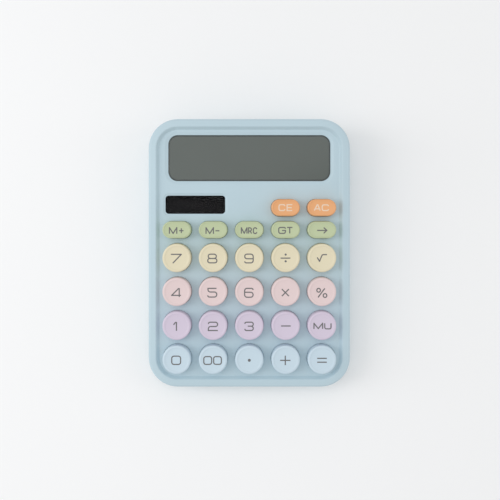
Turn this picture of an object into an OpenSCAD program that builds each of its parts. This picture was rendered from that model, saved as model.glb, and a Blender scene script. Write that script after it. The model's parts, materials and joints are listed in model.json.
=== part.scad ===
// Desk calculator with a sloping face: a wedge-shaped case of two shells, 27 sprung keys on a
// rubber mat, a display behind a smoky window, a solar cell and one AAA cell under a sliding door.
// The origin is on the desk, under the middle of the case. +Y points from the user to the display.
// Most pieces are placed by face(): x and y along the rim's plane, and a depth below it.

/* [Face layout] */
// Diameter of a round key's face
key_d = 15.4; // [11:0.1:20]
// Height of a bar-shaped key's face, front to back
bar_l = 9.1; // [7.5:0.1:13]
// Space between neighbouring key faces, side to side
key_space_x = 4.2; // [3.2:0.1:10]
// Space between neighbouring key faces, front to back
key_space_y = 2.9; // [2.8:0.1:8]
// Space between the sides of the panel and the outer keys
side_margin = 2.2; // [2:0.1:30]
// Space between the front of the panel and the first row of keys
front_margin = 2.1; // [1.4:0.1:12]
// Space between the bar-shaped keys and the display's surround
middle_margin = 8.4; // [8:0.05:30]
// Space between the display's surround and the rear of the panel
rear_margin = 1.2; // [0.8:0.1:20]

/* [Case] */
// Height of the rim above the desk at the front
front_h = 16; // [15.5:0.5:30]
// Slope of the face, rising towards the display
tilt = 5.5; // [4:0.5:9]
// Corner radius of the case, seen from above
corner_r = 16; // [10:0.5:20]
// Width of the rim's flat top
rim_w = 4.2; // [3:0.1:10]
// Run of the slope between the rim and the panel
rim_slope = 1.7; // [0.5:0.1:4]
// Depth of the panel below the rim
panel_depth = 2; // [1:0.1:4]
// Thickness of the panel
panel_t = 2; // [1.6:0.1:3]
// Thickness of the side walls
case_wall = 2; // [1.5:0.1:3]
// Thickness of the floor
floor_t = 2; // [1.8:0.1:3]
// Width of the bevel round the top edge
edge_bevel = 1.2; // [0.4:0.1:2]
// Depth of the joint between the two shells, below the rim
split_depth = 8; // [7.6:0.1:10]

/* [Keys] */
// Height of the key faces above the panel
key_rise = 5.8; // [3:0.1:8]
// Travel of a key
key_travel = 1.5; // [0.8:0.1:2.2]
// Growth of a key's radius from its face to the panel
key_draft = 0.1; // [0.1:0.05:0.4]
// Gap between a key and its hole, all round
key_gap = 0.3; // [0.15:0.05:0.5]
// Width of the flange that keeps a key in, beyond its hole
flange_lip = 0.6; // [0.4:0.05:0.7]
// Thickness of that flange
flange_t = 1; // [0.6:0.1:1.5]
// Thickness of a key's walls and top
key_wall = 1.2; // [0.8:0.1:1.6]
// Bevel round a key's face
key_bevel = 0.5; // [0.2:0.1:0.8]
// Diameter of the post that presses the dome
post_d = 3.6; // [2.5:0.1:4.2]

/* [Display and solar cell] */
// Width of the display window
window_w = 88.7; // [60:0.1:110]
// Length of the display window, front to back
window_l = 25.25; // [18:0.05:40]
// Corner radius of the display window
window_r = 4.7; // [2:0.1:8]
// Thickness of the display window
window_t = 1; // [0.6:0.1:1.2]
// Width of the step round the display window
surround_w = 1.6; // [0.8:0.1:3]
// Depth of that step
surround_depth = 0.3; // [0.1:0.05:0.5]
// Width of the ledge that carries the display window
ledge_w = 3; // [2.6:0.1:5]
// Width of the solar window
solar_w = 32.7; // [20:0.1:45]
// Length of the solar window, front to back
solar_l = 10; // [6:0.1:12]
// Thickness of each of the display's two glass plates
glass_t = 1.1; // [0.5:0.1:1.2]
// Width of each rubber connector strip
zebra_w = 1.8; // [1.2:0.1:2]

/* [Board and keypad] */
// Thickness of the circuit board
board_t = 1.6; // [0.8:0.1:2]
// Thickness of the rubber mat
mat_t = 1; // [0.6:0.1:1.5]
// Thickness of the carbon pills
pill_t = 0.5; // [0.3:0.05:0.6]
// Diameter of the case screws
case_screw_d = 2.2; // [1.8:0.1:2.6]
// Length of the case screws below the head
case_screw_l = 8; // [7:0.5:9]
// Diameter of the board screws
board_screw_d = 1.8; // [1.4:0.1:2]

/* [Battery and feet] */
// Diameter of the cell
battery_d = 10.5; // [8:0.1:13]
// Length of the cell with its nub
battery_l = 44.5; // [30:0.5:52]
// Space for the spring behind the cell
spring_space = 4; // [3:0.5:6]
// Thickness of the bay's walls
bay_wall = 1.4; // [1:0.1:2]
// Gap between the door and its grooves
door_gap = 0.2; // [0.15:0.05:0.3]
// Diameter of the rubber feet
foot_d = 9; // [6:0.5:12]
// Height of the floor above the desk
foot_h = 1; // [0.6:0.1:2]

/* [Hidden] */
$fn = 48;
cut = 0.5; // extra length of a cutting shape past the face it cuts

// The keys: name, column, row, colour. Rows 0 to 3 are round keys; rows 4 and 5 are bars.
yellow = [0.90, 0.86, 0.72];
pink = [0.89, 0.79, 0.79];
lilac = [0.81, 0.76, 0.84];
sky = [0.77, 0.84, 0.89];
green = [0.74, 0.79, 0.63];
orange = [0.92, 0.68, 0.50];
KEYS = [
  ["key_0", 0, 0, sky], ["key_00", 1, 0, sky], ["key_point", 2, 0, sky],
  ["key_plus", 3, 0, sky], ["key_equals", 4, 0, sky],
  ["key_1", 0, 1, lilac], ["key_2", 1, 1, lilac], ["key_3", 2, 1, lilac],
  ["key_minus", 3, 1, lilac], ["key_mu", 4, 1, lilac],
  ["key_4", 0, 2, pink], ["key_5", 1, 2, pink], ["key_6", 2, 2, pink],
  ["key_multiply", 3, 2, pink], ["key_percent", 4, 2, pink],
  ["key_7", 0, 3, yellow], ["key_8", 1, 3, yellow], ["key_9", 2, 3, yellow],
  ["key_divide", 3, 3, yellow], ["key_sqrt", 4, 3, yellow],
  ["key_m_plus", 0, 4, green], ["key_m_minus", 1, 4, green], ["key_mrc", 2, 4, green],
  ["key_gt", 3, 4, green], ["key_arrow", 4, 4, green],
  ["key_ce", 3, 5, orange], ["key_ac", 4, 5, orange]
];

// Case colours and the colours of what is inside
case_blue = [0.74, 0.81, 0.86];
smoke = [0.40, 0.42, 0.41];
board_green = [0.10, 0.36, 0.20];
rubber_grey = [0.72, 0.73, 0.74];
steel = [0.75, 0.76, 0.78];

// Face layout, counted from the panel's front edge
columns = 5;
round_rows = 4;
pitch_x = key_d + key_space_x;
pitch_y = key_d + key_space_y;
bar_pitch = bar_l + key_space_y;
border = rim_w + rim_slope;
keys_w = columns * pitch_x - key_space_x;
surround_l = window_l + 2 * surround_w;
keys_l = round_rows * pitch_y + 2 * bar_pitch - key_space_y;
panel_w = max(keys_w, window_w + 2 * surround_w) + 2 * side_margin;
panel_l = front_margin + keys_l + middle_margin + surround_l + rear_margin;
body_w = panel_w + 2 * border;
body_l = panel_l + 2 * border;
panel_front = border - body_l / 2;
first_row_y = panel_front + front_margin + key_d / 2;
first_bar_y = first_row_y + (round_rows - 1) * pitch_y + pitch_y / 2 + bar_pitch / 2;
window_y = body_l / 2 - border - rear_margin - surround_l / 2;
solar_rise = 1.7; // the solar window's middle, above that of the upper row of bars
solar_inset = 1; // its left edge, in from that of the keys
solar_y = first_bar_y + bar_pitch + solar_rise;
solar_x = key_x(0) - key_d / 2 + solar_inset + solar_w / 2;

// Depths below the rim's plane
face_rise = key_rise - panel_depth;
panel_under = panel_depth + panel_t;
flange_gap = 0.2;
flange_top = panel_under + flange_gap;
key_bottom = flange_top + flange_t;
post_bottom = key_bottom + 0.2;
dome_top = post_bottom + 0.05;
mat_top = key_bottom + key_travel + 0.4;
board_top = mat_top + mat_t;
board_under = board_top + board_t;
dome_skin = board_top - key_travel - 0.05 - pill_t - dome_top;

// Heights of the battery bay in the desk's frame, and the rim's height at the front: front_h,
// or more where the board would otherwise come too near the bay's contacts and leads
bay_inset = 15;
bay_floor = foot_h + floor_t + 0.5;
battery_z = bay_floor + battery_d / 2 + 0.1;
bay_roof = battery_z + battery_d / 2 + 0.4;
lead_space = 3.1;
board_over_bay = (body_l / 2 * cos(tilt) - bay_inset) * tan(tilt) + body_l / 2 * sin(tilt)
  - board_under / cos(tilt);
rim_h = max(front_h, bay_roof + bay_wall + lead_space - board_over_bay);

// Where the tilted face stands: its rim is rim_h above the desk at the front edge, and
// the case's outermost points at the front and the rear are level about the origin
face_z = rim_h + body_l / 2 * sin(tilt);
front_reach = (body_l / 2) * cos(tilt) - edge_bevel * sin(tilt);
rear_drop = (rim_h + body_l * sin(tilt) - foot_h) / cos(tilt);
rear_reach = (body_l / 2) * cos(tilt) + rear_drop * sin(tilt);
face_y = (front_reach - rear_reach) / 2;
deep = rear_drop + 10;
foot_pocket = 0.6;

// Fits inside the case
side_gap = 0.2;
lip_t = 1;
lip_h = 1.5;
lip_gap = 0.15;
boss_r = 2.8;
board_boss_r = 2.4;
screw_inset = case_wall + lip_gap + lip_t + boss_r + 0.15;
boss_end = split_depth - 0.6;
post_top = boss_end + side_gap;
pilot_end = panel_depth + 0.8;
seat_depth = pilot_end + side_gap + case_screw_l;
head_r = 2.1;
head_h = 1.4;
well_r = head_r + 0.3;
well_wall = 1.2;
board_head_r = 1.7;
board_head_h = 1.1;
board_pilot_end = panel_under + 0.3;

// Display stack, under the panel
recess_depth = panel_depth + surround_depth + window_t;
lcd_w = window_w - 2 * ledge_w + 2;
lcd_l = window_l - 2 * ledge_w + 3;
film_t = 0.2;
lcd_top = panel_under + 0.1;
glass_top = lcd_top + film_t;
zebra_top = glass_top + glass_t;
connector_ledge = zebra_w + 0.2;
frame_wall = 1.2;
frame_w = lcd_w + 2 * (side_gap + frame_wall);
frame_l = lcd_l + 2 * (side_gap + frame_wall);
cell_lap = 0.8;
cell_t = 1.1;

// Board outline: a wide part under the keys and a narrower part under the display
board_w = keys_w + 5;
board_front = screw_inset - body_l / 2 + well_r + well_wall + 0.4;
board_step = first_bar_y + bar_pitch + bar_l / 2 + 4;
board_rear = window_y + frame_l / 2 + 1;
mat_rear = first_bar_y + bar_pitch / 2;

// Battery bay and door, in the desk's own frame
bay_y = body_l / 2 * cos(tilt) - bay_inset + face_y;
bay_l = battery_l + spring_space + 1.5;
bay_reach = battery_d / 2 + 0.4;
contact_t = 0.4;
door_w = bay_l + 4;
door_t = floor_t + 0.3;
tongue_w = 1.5;
tongue_t = 1;
door_front = bay_y - bay_reach - bay_wall - 0.3;
rail_w = tongue_w + 2;
rail_h = door_t + door_gap + 1.4;
plus_x = bay_l / 2 - contact_t;
battery_x = plus_x - 1 - battery_l / 2;

function key_x(column) = (column - (columns - 1) / 2) * pitch_x;
function key_y(row) = row < round_rows ? first_row_y + row * pitch_y
  : first_bar_y + (row - round_rows) * bar_pitch;
// Distance between the end centres of a key, 0 for a round one
function straight(row) = row < round_rows ? 0 : key_d - bar_l;
function key_r(row) = row < round_rows ? key_d / 2 : bar_l / 2;
function hole_r(row) = key_r(row) + key_draft + key_gap;
function dome_r(row) = key_r(row) * (row < round_rows ? 0.55 : 0.72);

// A point given on the face, in the desk's frame
function on_desk(x, y, depth) = [
  x,
  face_y + y * cos(tilt) + depth * sin(tilt),
  face_z + y * sin(tilt) - depth * cos(tilt)
];

// Screw places, on the face
case_screw_places = [
  for (side = [-1, 1]) [side * (key_x(3) + key_x(4)) / 2, screw_inset - body_l / 2],
  for (side = [-1, 1]) [side * (body_w / 2 - screw_inset), body_l / 2 - corner_r - 5]
];
bar_screw_y = min((key_y(4) + key_y(5)) / 2,
  solar_y - solar_l / 2 - cell_lap - side_gap - board_boss_r);
board_screw_rows = [
  (key_y(0) + key_y(1)) / 2, (key_y(2) + key_y(3)) / 2, bar_screw_y,
  window_y - frame_l / 2 - board_boss_r - 1.3
];
board_screw_places = [
  for (y = board_screw_rows) for (side = [-1, 1]) [side * (key_x(3) + key_x(4)) / 2, y]
];
foot_places = [
  for (y = [-1, 1]) for (x = [-1, 1]) [x * (body_w / 2 - 12), y * (body_l / 2 - 13)]
];

// A smooth path through hand-picked points
function bend(a, b, c, d, t) = 0.5 * (2 * b + (c - a) * t + (2 * a - 5 * b + 4 * c - d) * t * t
  + (3 * b - a - 3 * c + d) * t * t * t);
function smooth(points, steps) = let (last = len(points) - 1) concat(
  [for (i = [0:last - 1]) for (s = [0:steps - 1])
    bend(points[max(i - 1, 0)], points[i], points[i + 1], points[min(i + 2, last)], s / steps)],
  [points[last]]
);
function ring(p, along, ref, r, sides) = let (
  u = cross(along, ref) / norm(cross(along, ref)),
  v = cross(u, along)
) [for (i = [0:sides - 1]) p + r * (cos(360 * i / sides) * u + sin(360 * i / sides) * v)];

// Puts its children on the rim's plane, or depth below it
module face(depth = 0) {
  translate([0, face_y, face_z]) rotate([tilt, 0, 0]) translate([0, 0, -depth]) children();
}

// A round wire swept along a path; ref is a direction the path never takes
module wire(path, r, ref, sides = 8) {
  last = len(path) - 1;
  along = [for (i = [0:last]) path[min(i + 1, last)] - path[max(i - 1, 0)]];
  rings = [for (i = [0:last]) ring(path[i], along[i] / norm(along[i]), ref, r, sides)];
  walls = [for (i = [0:last - 1]) for (j = [0:sides - 1])
    [i * sides + j, i * sides + (j + 1) % sides, (i + 1) * sides + (j + 1) % sides,
      (i + 1) * sides + j]];
  start = [for (j = [sides - 1:-1:0]) j];
  finish = [for (j = [0:sides - 1]) last * sides + j];
  polyhedron([for (one = rings) for (p = one) p], concat([start], walls, [finish]));
}

// A rectangle with true round corners
module rounded_rect(w, l, r) {
  square([w - 2 * r, l], center = true);
  square([w, l - 2 * r], center = true);
  for (x = [-1, 1]) for (y = [-1, 1])
    translate([x * (w / 2 - r), y * (l / 2 - r)]) circle(r);
}

// A rounded rectangle that grows outwards by flare on its way up
module flared_rect(w, l, r, flare, h) {
  for (x = [-1, 1]) for (y = [-1, 1])
    translate([x * (w / 2 - r), y * (l / 2 - r), 0]) cylinder(h, r, r + flare);
  rotate([90, 0, 90]) linear_extrude(w - 2 * r, center = true) flared_side(l, flare, h);
  rotate([90, 0, 0]) linear_extrude(l - 2 * r, center = true) flared_side(w, flare, h);
}

module flared_side(w, flare, h) {
  polygon([[-w / 2, 0], [w / 2, 0], [w / 2 + flare, h], [-w / 2 - flare, h]]);
}

// A key's outline: round, or a bar with round ends
module key_outline(row, r) {
  if (straight(row) > 0) {
    square([straight(row), 2 * r], center = true);
    for (side = [-1, 1]) translate([side * straight(row) / 2, 0]) circle(r);
  } else circle(r);
}

// The same outline with sloping sides
module key_block(row, r_low, r_high, h) {
  if (straight(row) > 0) {
    rotate([90, 0, 90]) linear_extrude(straight(row), center = true)
      flared_side(2 * r_low, r_high - r_low, h);
    for (side = [-1, 1]) translate([side * straight(row) / 2, 0, 0]) cylinder(h, r_low, r_high);
  } else cylinder(h, r_low, r_high);
}

// Puts its children at one key's place, depth below the rim's plane
module at_key(k, depth) {
  face(depth) translate([key_x(k[1]), key_y(k[2]), 0]) children();
}

// A hollow cap with a flange under the panel and a post on the dome
module key(k) {
  row = k[2];
  top_r = key_r(row);
  skirt_r = top_r + key_draft;
  body_h = key_rise - key_bevel;
  color(k[3]) difference() {
    union() {
      at_key(k, panel_depth) key_block(row, skirt_r, top_r, body_h);
      at_key(k, -(face_rise - key_bevel)) key_block(row, top_r, top_r - key_bevel, key_bevel);
      at_key(k, key_bottom) linear_extrude(key_bottom - panel_depth) key_outline(row, skirt_r);
      at_key(k, key_bottom) linear_extrude(flange_t)
        key_outline(row, hole_r(row) + flange_lip);
    }
    difference() {
      at_key(k, key_bottom + cut) linear_extrude(key_bottom + cut + face_rise - key_wall)
        key_outline(row, top_r - key_wall);
      at_key(k, key_bottom + cut) cylinder(key_bottom + cut + face_rise, d = post_d);
    }
  }
  color(k[3]) at_key(k, post_bottom) cylinder(post_bottom - key_bottom, d = post_d);
}

// A boss with a blind pilot hole for a screw that comes from below
module boss(place, r, top, bottom) {
  translate([place[0], place[1], -bottom]) cylinder(bottom - top, r = r);
}

// Upper shell: rim, recessed panel, key holes, window recesses, screw bosses
module top_case() {
  color(case_blue) face() difference() {
    union() {
      difference() {
        union() {
          translate([0, 0, -split_depth]) linear_extrude(split_depth - edge_bevel)
            rounded_rect(body_w, body_l, corner_r);
          translate([0, 0, -edge_bevel]) flared_rect(body_w, body_l, corner_r, -edge_bevel,
            edge_bevel);
        }
        translate([0, 0, -panel_depth])
          flared_rect(panel_w, panel_l, corner_r - border, rim_slope, panel_depth);
        translate([0, 0, -split_depth - cut]) linear_extrude(split_depth + cut - panel_under)
          rounded_rect(body_w - 2 * case_wall, body_l - 2 * case_wall, corner_r - case_wall);
      }
      for (place = case_screw_places) boss(place, boss_r, panel_under, boss_end);
      for (place = board_screw_places) boss(place, board_boss_r, panel_under, board_top);
      translate([0, window_y, -lcd_top - 2]) linear_extrude(2 + cut) locating_rib(frame_w, frame_l);
      translate([solar_x, solar_y, -panel_under - cell_t]) linear_extrude(cell_t + cut)
        locating_rib(solar_w + 2 * cell_lap, solar_l + 2 * cell_lap);
    }
    for (k = KEYS) translate([key_x(k[1]), key_y(k[2]), -panel_under - cut])
      linear_extrude(panel_t + 2 * cut) key_outline(k[2], hole_r(k[2]));
    for (place = case_screw_places)
      boss(place, case_screw_d / 2, pilot_end, boss_end + cut);
    for (place = board_screw_places)
      boss(place, board_screw_d / 2, board_pilot_end, board_top + cut);
    window_recess();
    translate([solar_x, solar_y, -panel_under - cut]) linear_extrude(panel_t + 2 * cut)
      rounded_rect(solar_w, solar_l, 1.2);
  }
}

// The ring that holds a flat piece in place under the panel
module locating_rib(w, l) {
  difference() {
    square([w + 2 * side_gap + 2, l + 2 * side_gap + 2], center = true);
    square([w + 2 * side_gap, l + 2 * side_gap], center = true);
  }
}

// The stepped recess for the display window, and the opening under it
module window_recess() {
  w = window_w;
  l = window_l;
  translate([0, window_y, 0]) {
    translate([0, 0, -panel_depth - surround_depth]) linear_extrude(surround_depth + cut)
      rounded_rect(w + 2 * surround_w, l + 2 * surround_w, window_r + surround_w);
    translate([0, 0, -recess_depth]) linear_extrude(window_t + cut) rounded_rect(w, l, window_r);
    translate([0, 0, -panel_under - cut]) linear_extrude(panel_t + cut)
      rounded_rect(w - 2 * ledge_w, l - 2 * ledge_w, max(window_r - ledge_w, 0.5));
  }
}

// The lower part of the case as a solid, inset all round and lifted off its floor
module lower_block(inset, lift) {
  intersection() {
    face(deep) linear_extrude(deep - split_depth)
      rounded_rect(body_w - 2 * inset, body_l - 2 * inset, corner_r - inset);
    translate([-body_w, -body_l, foot_h + lift]) cube([2 * body_w, 2 * body_l, 2 * deep]);
  }
}

// Lower shell: walls and floor, lip, screw posts, battery bay with its door's rails, foot pads
module bottom_case() {
  color(case_blue) difference() {
    union() {
      difference() {
        lower_block(0, 0);
        lower_block(case_wall, floor_t);
        face(split_depth + cut) linear_extrude(2 * cut)
          rounded_rect(body_w - 2 * case_wall, body_l - 2 * case_wall, corner_r - case_wall);
      }
      lip();
      intersection() {
        lower_block(case_wall / 2, 0);
        for (place = case_screw_places) face(deep) translate([place[0], place[1], 0])
          cylinder(deep - post_top, r = well_r + well_wall);
      }
      for (place = case_screw_places) face(split_depth + cut)
        translate([place[0], place[1], 0]) cylinder(split_depth + cut - post_top, r = boss_r);
      intersection() {
        lower_block(case_wall / 2, 0);
        for (place = foot_places) translate([place[0], place[1] + face_y, foot_h])
          cylinder(floor_t + 0.8, d = foot_d + 3);
      }
      battery_bay();
    }
    for (place = foot_places) translate([place[0], place[1] + face_y, foot_h - cut])
      cylinder(foot_pocket + cut, d = foot_d + 0.2);
    for (place = case_screw_places) face(deep) translate([place[0], place[1], 0]) {
      cylinder(deep - seat_depth, r = well_r);
      cylinder(deep - post_top + cut, r = case_screw_d / 2 + side_gap);
    }
    door_block(door_gap);
  }
}

// The lip that stands up inside the top case
module lip() {
  inset = case_wall + lip_gap;
  face(split_depth + 2) linear_extrude(lip_h + 2) difference() {
    rounded_rect(body_w - 2 * inset, body_l - 2 * inset, corner_r - inset);
    rounded_rect(body_w - 2 * (inset + lip_t), body_l - 2 * (inset + lip_t),
      corner_r - inset - lip_t);
  }
  face(split_depth + 2) linear_extrude(1.9) difference() {
    rounded_rect(body_w - case_wall, body_l - case_wall, corner_r - case_wall / 2);
    rounded_rect(body_w - 2 * (inset + lip_t), body_l - 2 * (inset + lip_t),
      corner_r - inset - lip_t);
  }
}

// Walls and roof round the cell, and the rails over the door's tongues
module battery_bay() {
  inner_l = bay_l + 2 * bay_wall;
  low = foot_h + door_t + door_gap;
  for (side = [-1, 1]) {
    translate([side * (bay_l + bay_wall) / 2 - bay_wall / 2, bay_y - bay_reach - bay_wall, low])
      cube([bay_wall, 2 * (bay_reach + bay_wall), bay_roof + bay_wall - low]);
    translate([0, bay_y + side * (bay_reach + bay_wall / 2), low])
      translate([-inner_l / 2, -bay_wall / 2, 0])
        cube([inner_l, bay_wall, bay_roof + bay_wall - low]);
    intersection() {
      lower_block(case_wall / 2, 0);
      translate([side * (door_w / 2 + 2 - rail_w / 2) - rail_w / 2, door_front - 2, foot_h])
        cube([rail_w, body_l, rail_h]);
    }
    translate([side * (bay_l / 2 + 2.5) - 2.5, bay_y - bay_reach - bay_wall, low])
      cube([5, 2 * (bay_reach + bay_wall), 1.2]);
  }
  translate([-inner_l / 2, door_front - 2, foot_h + floor_t / 2])
    cube([inner_l, 4, low + 1.2 - foot_h - floor_t / 2]);
  translate([1.5 - bay_l / 2, bay_y - bay_reach - bay_wall, bay_roof])
    cube([bay_l - 3, 2 * (bay_reach + bay_wall), bay_wall]);
}

// The door as it stands in the floor, grown by gap to make its opening
module door_block(gap) {
  intersection() {
    union() {
      lower_block(0, 0);
      if (gap > 0) translate([-body_w, 0, foot_h - cut]) cube([2 * body_w, body_l, 2 * cut]);
    }
    union() {
      translate([-door_w / 2 + 1.5 - gap, door_front - gap, foot_h - cut])
        cube([door_w - 3 + 2 * gap, body_l, door_t + gap + cut]);
      translate([-door_w / 2 - gap, door_front - gap, foot_h + door_t - tongue_t - gap])
        cube([door_w + 2 * gap, body_l, tongue_t + 2 * gap]);
    }
  }
}

// Sliding door with tongues along its sides and grip grooves near the rear edge
module battery_door() {
  color(case_blue) difference() {
    door_block(0);
    for (i = [0:4]) translate([-10, bay_y + 4 - 2 * i, foot_h - cut]) cube([20, 0.9, cut + 0.5]);
  }
}

module feet() {
  color([0.16, 0.16, 0.17]) for (place = foot_places)
    translate([place[0], place[1] + face_y, 0]) cylinder(foot_h + foot_pocket, d = foot_d);
}

// A screw that points up, with a cross recess in its head; its seat is at depth
module screw(place, depth, d, l, r, h) {
  translate([place[0], place[1], -depth]) {
    cylinder(l, d = d);
    difference() {
      translate([0, 0, -h]) cylinder(h, r = r);
      for (turn = [0, 90]) rotate(turn) translate([-r * 0.6, -0.25, -h - cut])
        cube([r * 1.2, 0.5, cut + h * 0.6]);
    }
  }
}

module case_screws() {
  color(steel) face() for (place = case_screw_places)
    screw(place, seat_depth, case_screw_d, case_screw_l, head_r, head_h);
}

module board_screws() {
  color(steel) face() for (place = board_screw_places)
    screw(place, board_under, board_screw_d, board_under - board_pilot_end - 0.3, board_head_r,
      board_head_h);
}

module display_window() {
  color(smoke) face(recess_depth) translate([0, window_y, 0]) linear_extrude(window_t)
    rounded_rect(window_w - 0.2, window_l - 0.2, window_r - 0.1);
}

module solar_window() {
  color([0.2, 0.2, 0.22]) face(panel_under) translate([solar_x, solar_y, 0])
    linear_extrude(panel_t - 0.3) rounded_rect(solar_w - 0.2, solar_l - 0.2, 1.1);
}

module solar_cell() {
  color([0.12, 0.11, 0.14]) face(panel_under + cell_t) translate([solar_x, solar_y, 0])
    linear_extrude(cell_t) square([solar_w + 2 * cell_lap, solar_l + 2 * cell_lap], center = true);
}

// A flat rectangle of the display stack, with its top at depth
module lcd_layer(w, l, depth, t) {
  face(depth + t) translate([0, window_y, 0]) linear_extrude(t) square([w, l], center = true);
}

// Two glass plates; the upper one overhangs the lower, and its contacts face down
module lcd_glass() {
  color([0.70, 0.74, 0.70, 0.6]) {
    lcd_layer(lcd_w, lcd_l, glass_top, glass_t);
    lcd_layer(lcd_w, lcd_l - 2 * connector_ledge, zebra_top, glass_t);
  }
}

module lcd_polarizer() {
  color([0.55, 0.58, 0.55]) lcd_layer(lcd_w - 4, lcd_l - 4, lcd_top, film_t);
}

module lcd_reflector() {
  color([0.80, 0.81, 0.80])
    lcd_layer(lcd_w - 4, lcd_l - 2 * connector_ledge - 1, zebra_top + glass_t, film_t);
}

// The frame that stands on the board round the glass
module lcd_frame() {
  color([0.9, 0.9, 0.88]) face(board_top) translate([0, window_y, 0])
    linear_extrude(board_top - glass_top) difference() {
      square([frame_w, frame_l], center = true);
      square([lcd_w + 2 * side_gap, lcd_l + 2 * side_gap], center = true);
    }
}

module zebra_strips() {
  color([0.85, 0.55, 0.60]) for (side = [-1, 1])
    face(board_top) translate([0, window_y + side * (lcd_l - zebra_w) / 2, 0])
      linear_extrude(board_top - zebra_top) square([lcd_w - 2, zebra_w], center = true);
}

module board_outline() {
  translate([-board_w / 2, board_front]) square([board_w, board_step - board_front]);
  translate([-frame_w / 2 - 0.5, board_step - 1]) square([frame_w + 1, board_rear - board_step + 1]);
}

module circuit_board() {
  color(board_green) face(board_under) linear_extrude(board_t) difference() {
    board_outline();
    for (place = board_screw_places) translate(place) circle(board_screw_d / 2 + side_gap);
  }
}

// The mat: a sheet on the board with one hollow dome under each key
module rubber_keypad() {
  color(rubber_grey) difference() {
    union() {
      face(board_top) linear_extrude(mat_t) difference() {
        union() {
          translate([1 - board_w / 2, board_front + 1])
            square([board_w - 2, mat_rear - board_front - 1]);
          translate([key_x(2) + key_d / 2, mat_rear - 1])
            square([board_w / 2 - key_d / 2 - 1, bar_pitch - key_space_y / 2 + 1]);
        }
        for (place = board_screw_places) translate(place) circle(board_boss_r + 0.4);
      }
      for (k = KEYS) at_key(k, mat_top) cylinder(mat_top - dome_top, dome_r(k[2]), post_d * 0.7);
    }
    for (k = KEYS) at_key(k, board_top + cut)
      cylinder(board_top + cut - dome_top - dome_skin, dome_r(k[2]) - 0.5, post_d * 0.7 - 0.5);
  }
}

module carbon_pills() {
  color([0.1, 0.1, 0.1]) for (k = KEYS) at_key(k, dome_top + dome_skin + pill_t)
    cylinder(pill_t, r = post_d * 0.4);
}

// The epoxy drop over the bare chip
module chip_blob() {
  color([0.08, 0.08, 0.09]) face(board_under) translate([0, key_y(1) + pitch_y / 2, -2])
    intersection() {
      translate([0, 0, 6.5]) sphere(8.5);
      translate([-8, -8, 0.2]) cube([16, 16, 1.8]);
    }
}

// An upright can between two rows of keys, its leads cut level with the board's top
module capacitor() {
  color([0.15, 0.2, 0.35]) face(board_under + 6)
    translate([key_x(3), (key_y(3) + key_y(4)) / 2, 0]) {
      cylinder(6, d = 5);
      for (side = [-1, 1]) translate([side, 0, 5.5]) cylinder(0.5 + board_t, d = 0.5);
    }
}

// Small bodies with a lead at each end, flat against the board
module axial_part(x, y, d, l) {
  face(board_under + d / 2 + 0.1) translate([x, y, 0]) {
    rotate([90, 0, 0]) cylinder(l, d = d, center = true);
    rotate([90, 0, 0]) cylinder(l + 4, d = 0.5, center = true);
    for (side = [-1, 1]) translate([0, side * (l / 2 + 2), -0.25]) cylinder(d / 2 + 1.3, d = 0.5);
  }
}

module resistors() {
  color([0.76, 0.66, 0.48]) for (i = [0:2]) axial_part(key_x(1) + 4 * i, key_y(3), 1.8, 3.6);
}

module diodes() {
  color([0.75, 0.35, 0.25]) for (i = [0:1]) axial_part(key_x(1) + 4 * i, key_y(4), 1.6, 3.2);
}

// The AAA cell: a can with a raised nub on its plus end
module battery() {
  nub = 1;
  color([0.25, 0.27, 0.30]) translate([battery_x, bay_y, battery_z]) rotate([0, 90, 0]) {
    translate([0, 0, -battery_l / 2]) cylinder(battery_l - nub, d = battery_d);
    translate([0, 0, battery_l / 2 - nub]) cylinder(nub, d = battery_d * 0.36);
  }
}

// The minus contact: a plate in the bay's end, a tab above the roof, and a coned coil
module battery_spring() {
  coil_l = bay_l / 2 - contact_t + battery_x - battery_l / 2;
  turns = 3;
  steps = 14 * turns;
  coil = [for (i = [0:steps]) let (t = i / steps, r = battery_d * (0.40 - 0.20 * t)) [
    contact_t - bay_l / 2 + 0.1 + (coil_l - 0.4) * t,
    bay_y + r * cos(360 * turns * t),
    battery_z + r * sin(360 * turns * t)
  ]];
  color(steel) {
    contact_plate(-bay_l / 2);
    wire(coil, 0.3, [1, 0, 0]);
  }
}

module contact_plate(x) {
  translate([x, bay_y - battery_d * 0.45, bay_floor + 0.3])
    cube([contact_t, battery_d * 0.9, bay_roof - bay_floor - 0.5]);
  translate([x, bay_y - 1.5, bay_roof - 1]) cube([contact_t, 3, bay_wall + 2.5]);
}

module battery_plate() {
  color(steel) {
    contact_plate(plus_x);
    translate([plus_x, bay_y, battery_z]) rotate([0, -90, 0]) cylinder(1, 2.6, 1.6);
  }
}

// A battery lead, from its contact's tab to the underside of the board
module battery_wire(side) {
  tab = [side * (bay_l / 2 - contact_t / 2), bay_y - 0.5, bay_roof + bay_wall + 0.8];
  path = smooth([
    tab,
    on_desk(side * (bay_l / 2 - 1), window_y, board_under + 1.5),
    on_desk(side * 20, window_y - 8, board_under + 2),
    on_desk(side * 17, window_y - 16, board_under + 2.4),
    on_desk(side * 15, window_y - 21, board_under + 1.6),
    on_desk(side * 15, window_y - 22, board_under)
  ], 4);
  wire(path, 0.5, [1, 0, 0.2]);
}

module battery_wire_red() {
  color([0.75, 0.12, 0.10]) battery_wire(1);
}

module battery_wire_black() {
  color([0.1, 0.1, 0.1]) battery_wire(-1);
}

// A solar lead, from the back of the cell down to the top of the board
module solar_wire(offset) {
  drop = board_top - panel_under - cell_t;
  path = smooth([
    [0, 0, drop], [0.2, 1, drop - 0.7], [1.5, 4, drop - 1.2], [2.6, 7, 1], [3, 8, 0]
  ], 4);
  face(board_top) translate([solar_x + offset, solar_y - 2, 0]) wire(path, 0.4, [1, 0, 0]);
}

module solar_wire_red() {
  color([0.75, 0.12, 0.10]) solar_wire(6);
}

module solar_wire_black() {
  color([0.1, 0.1, 0.1]) solar_wire(-6);
}

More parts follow.
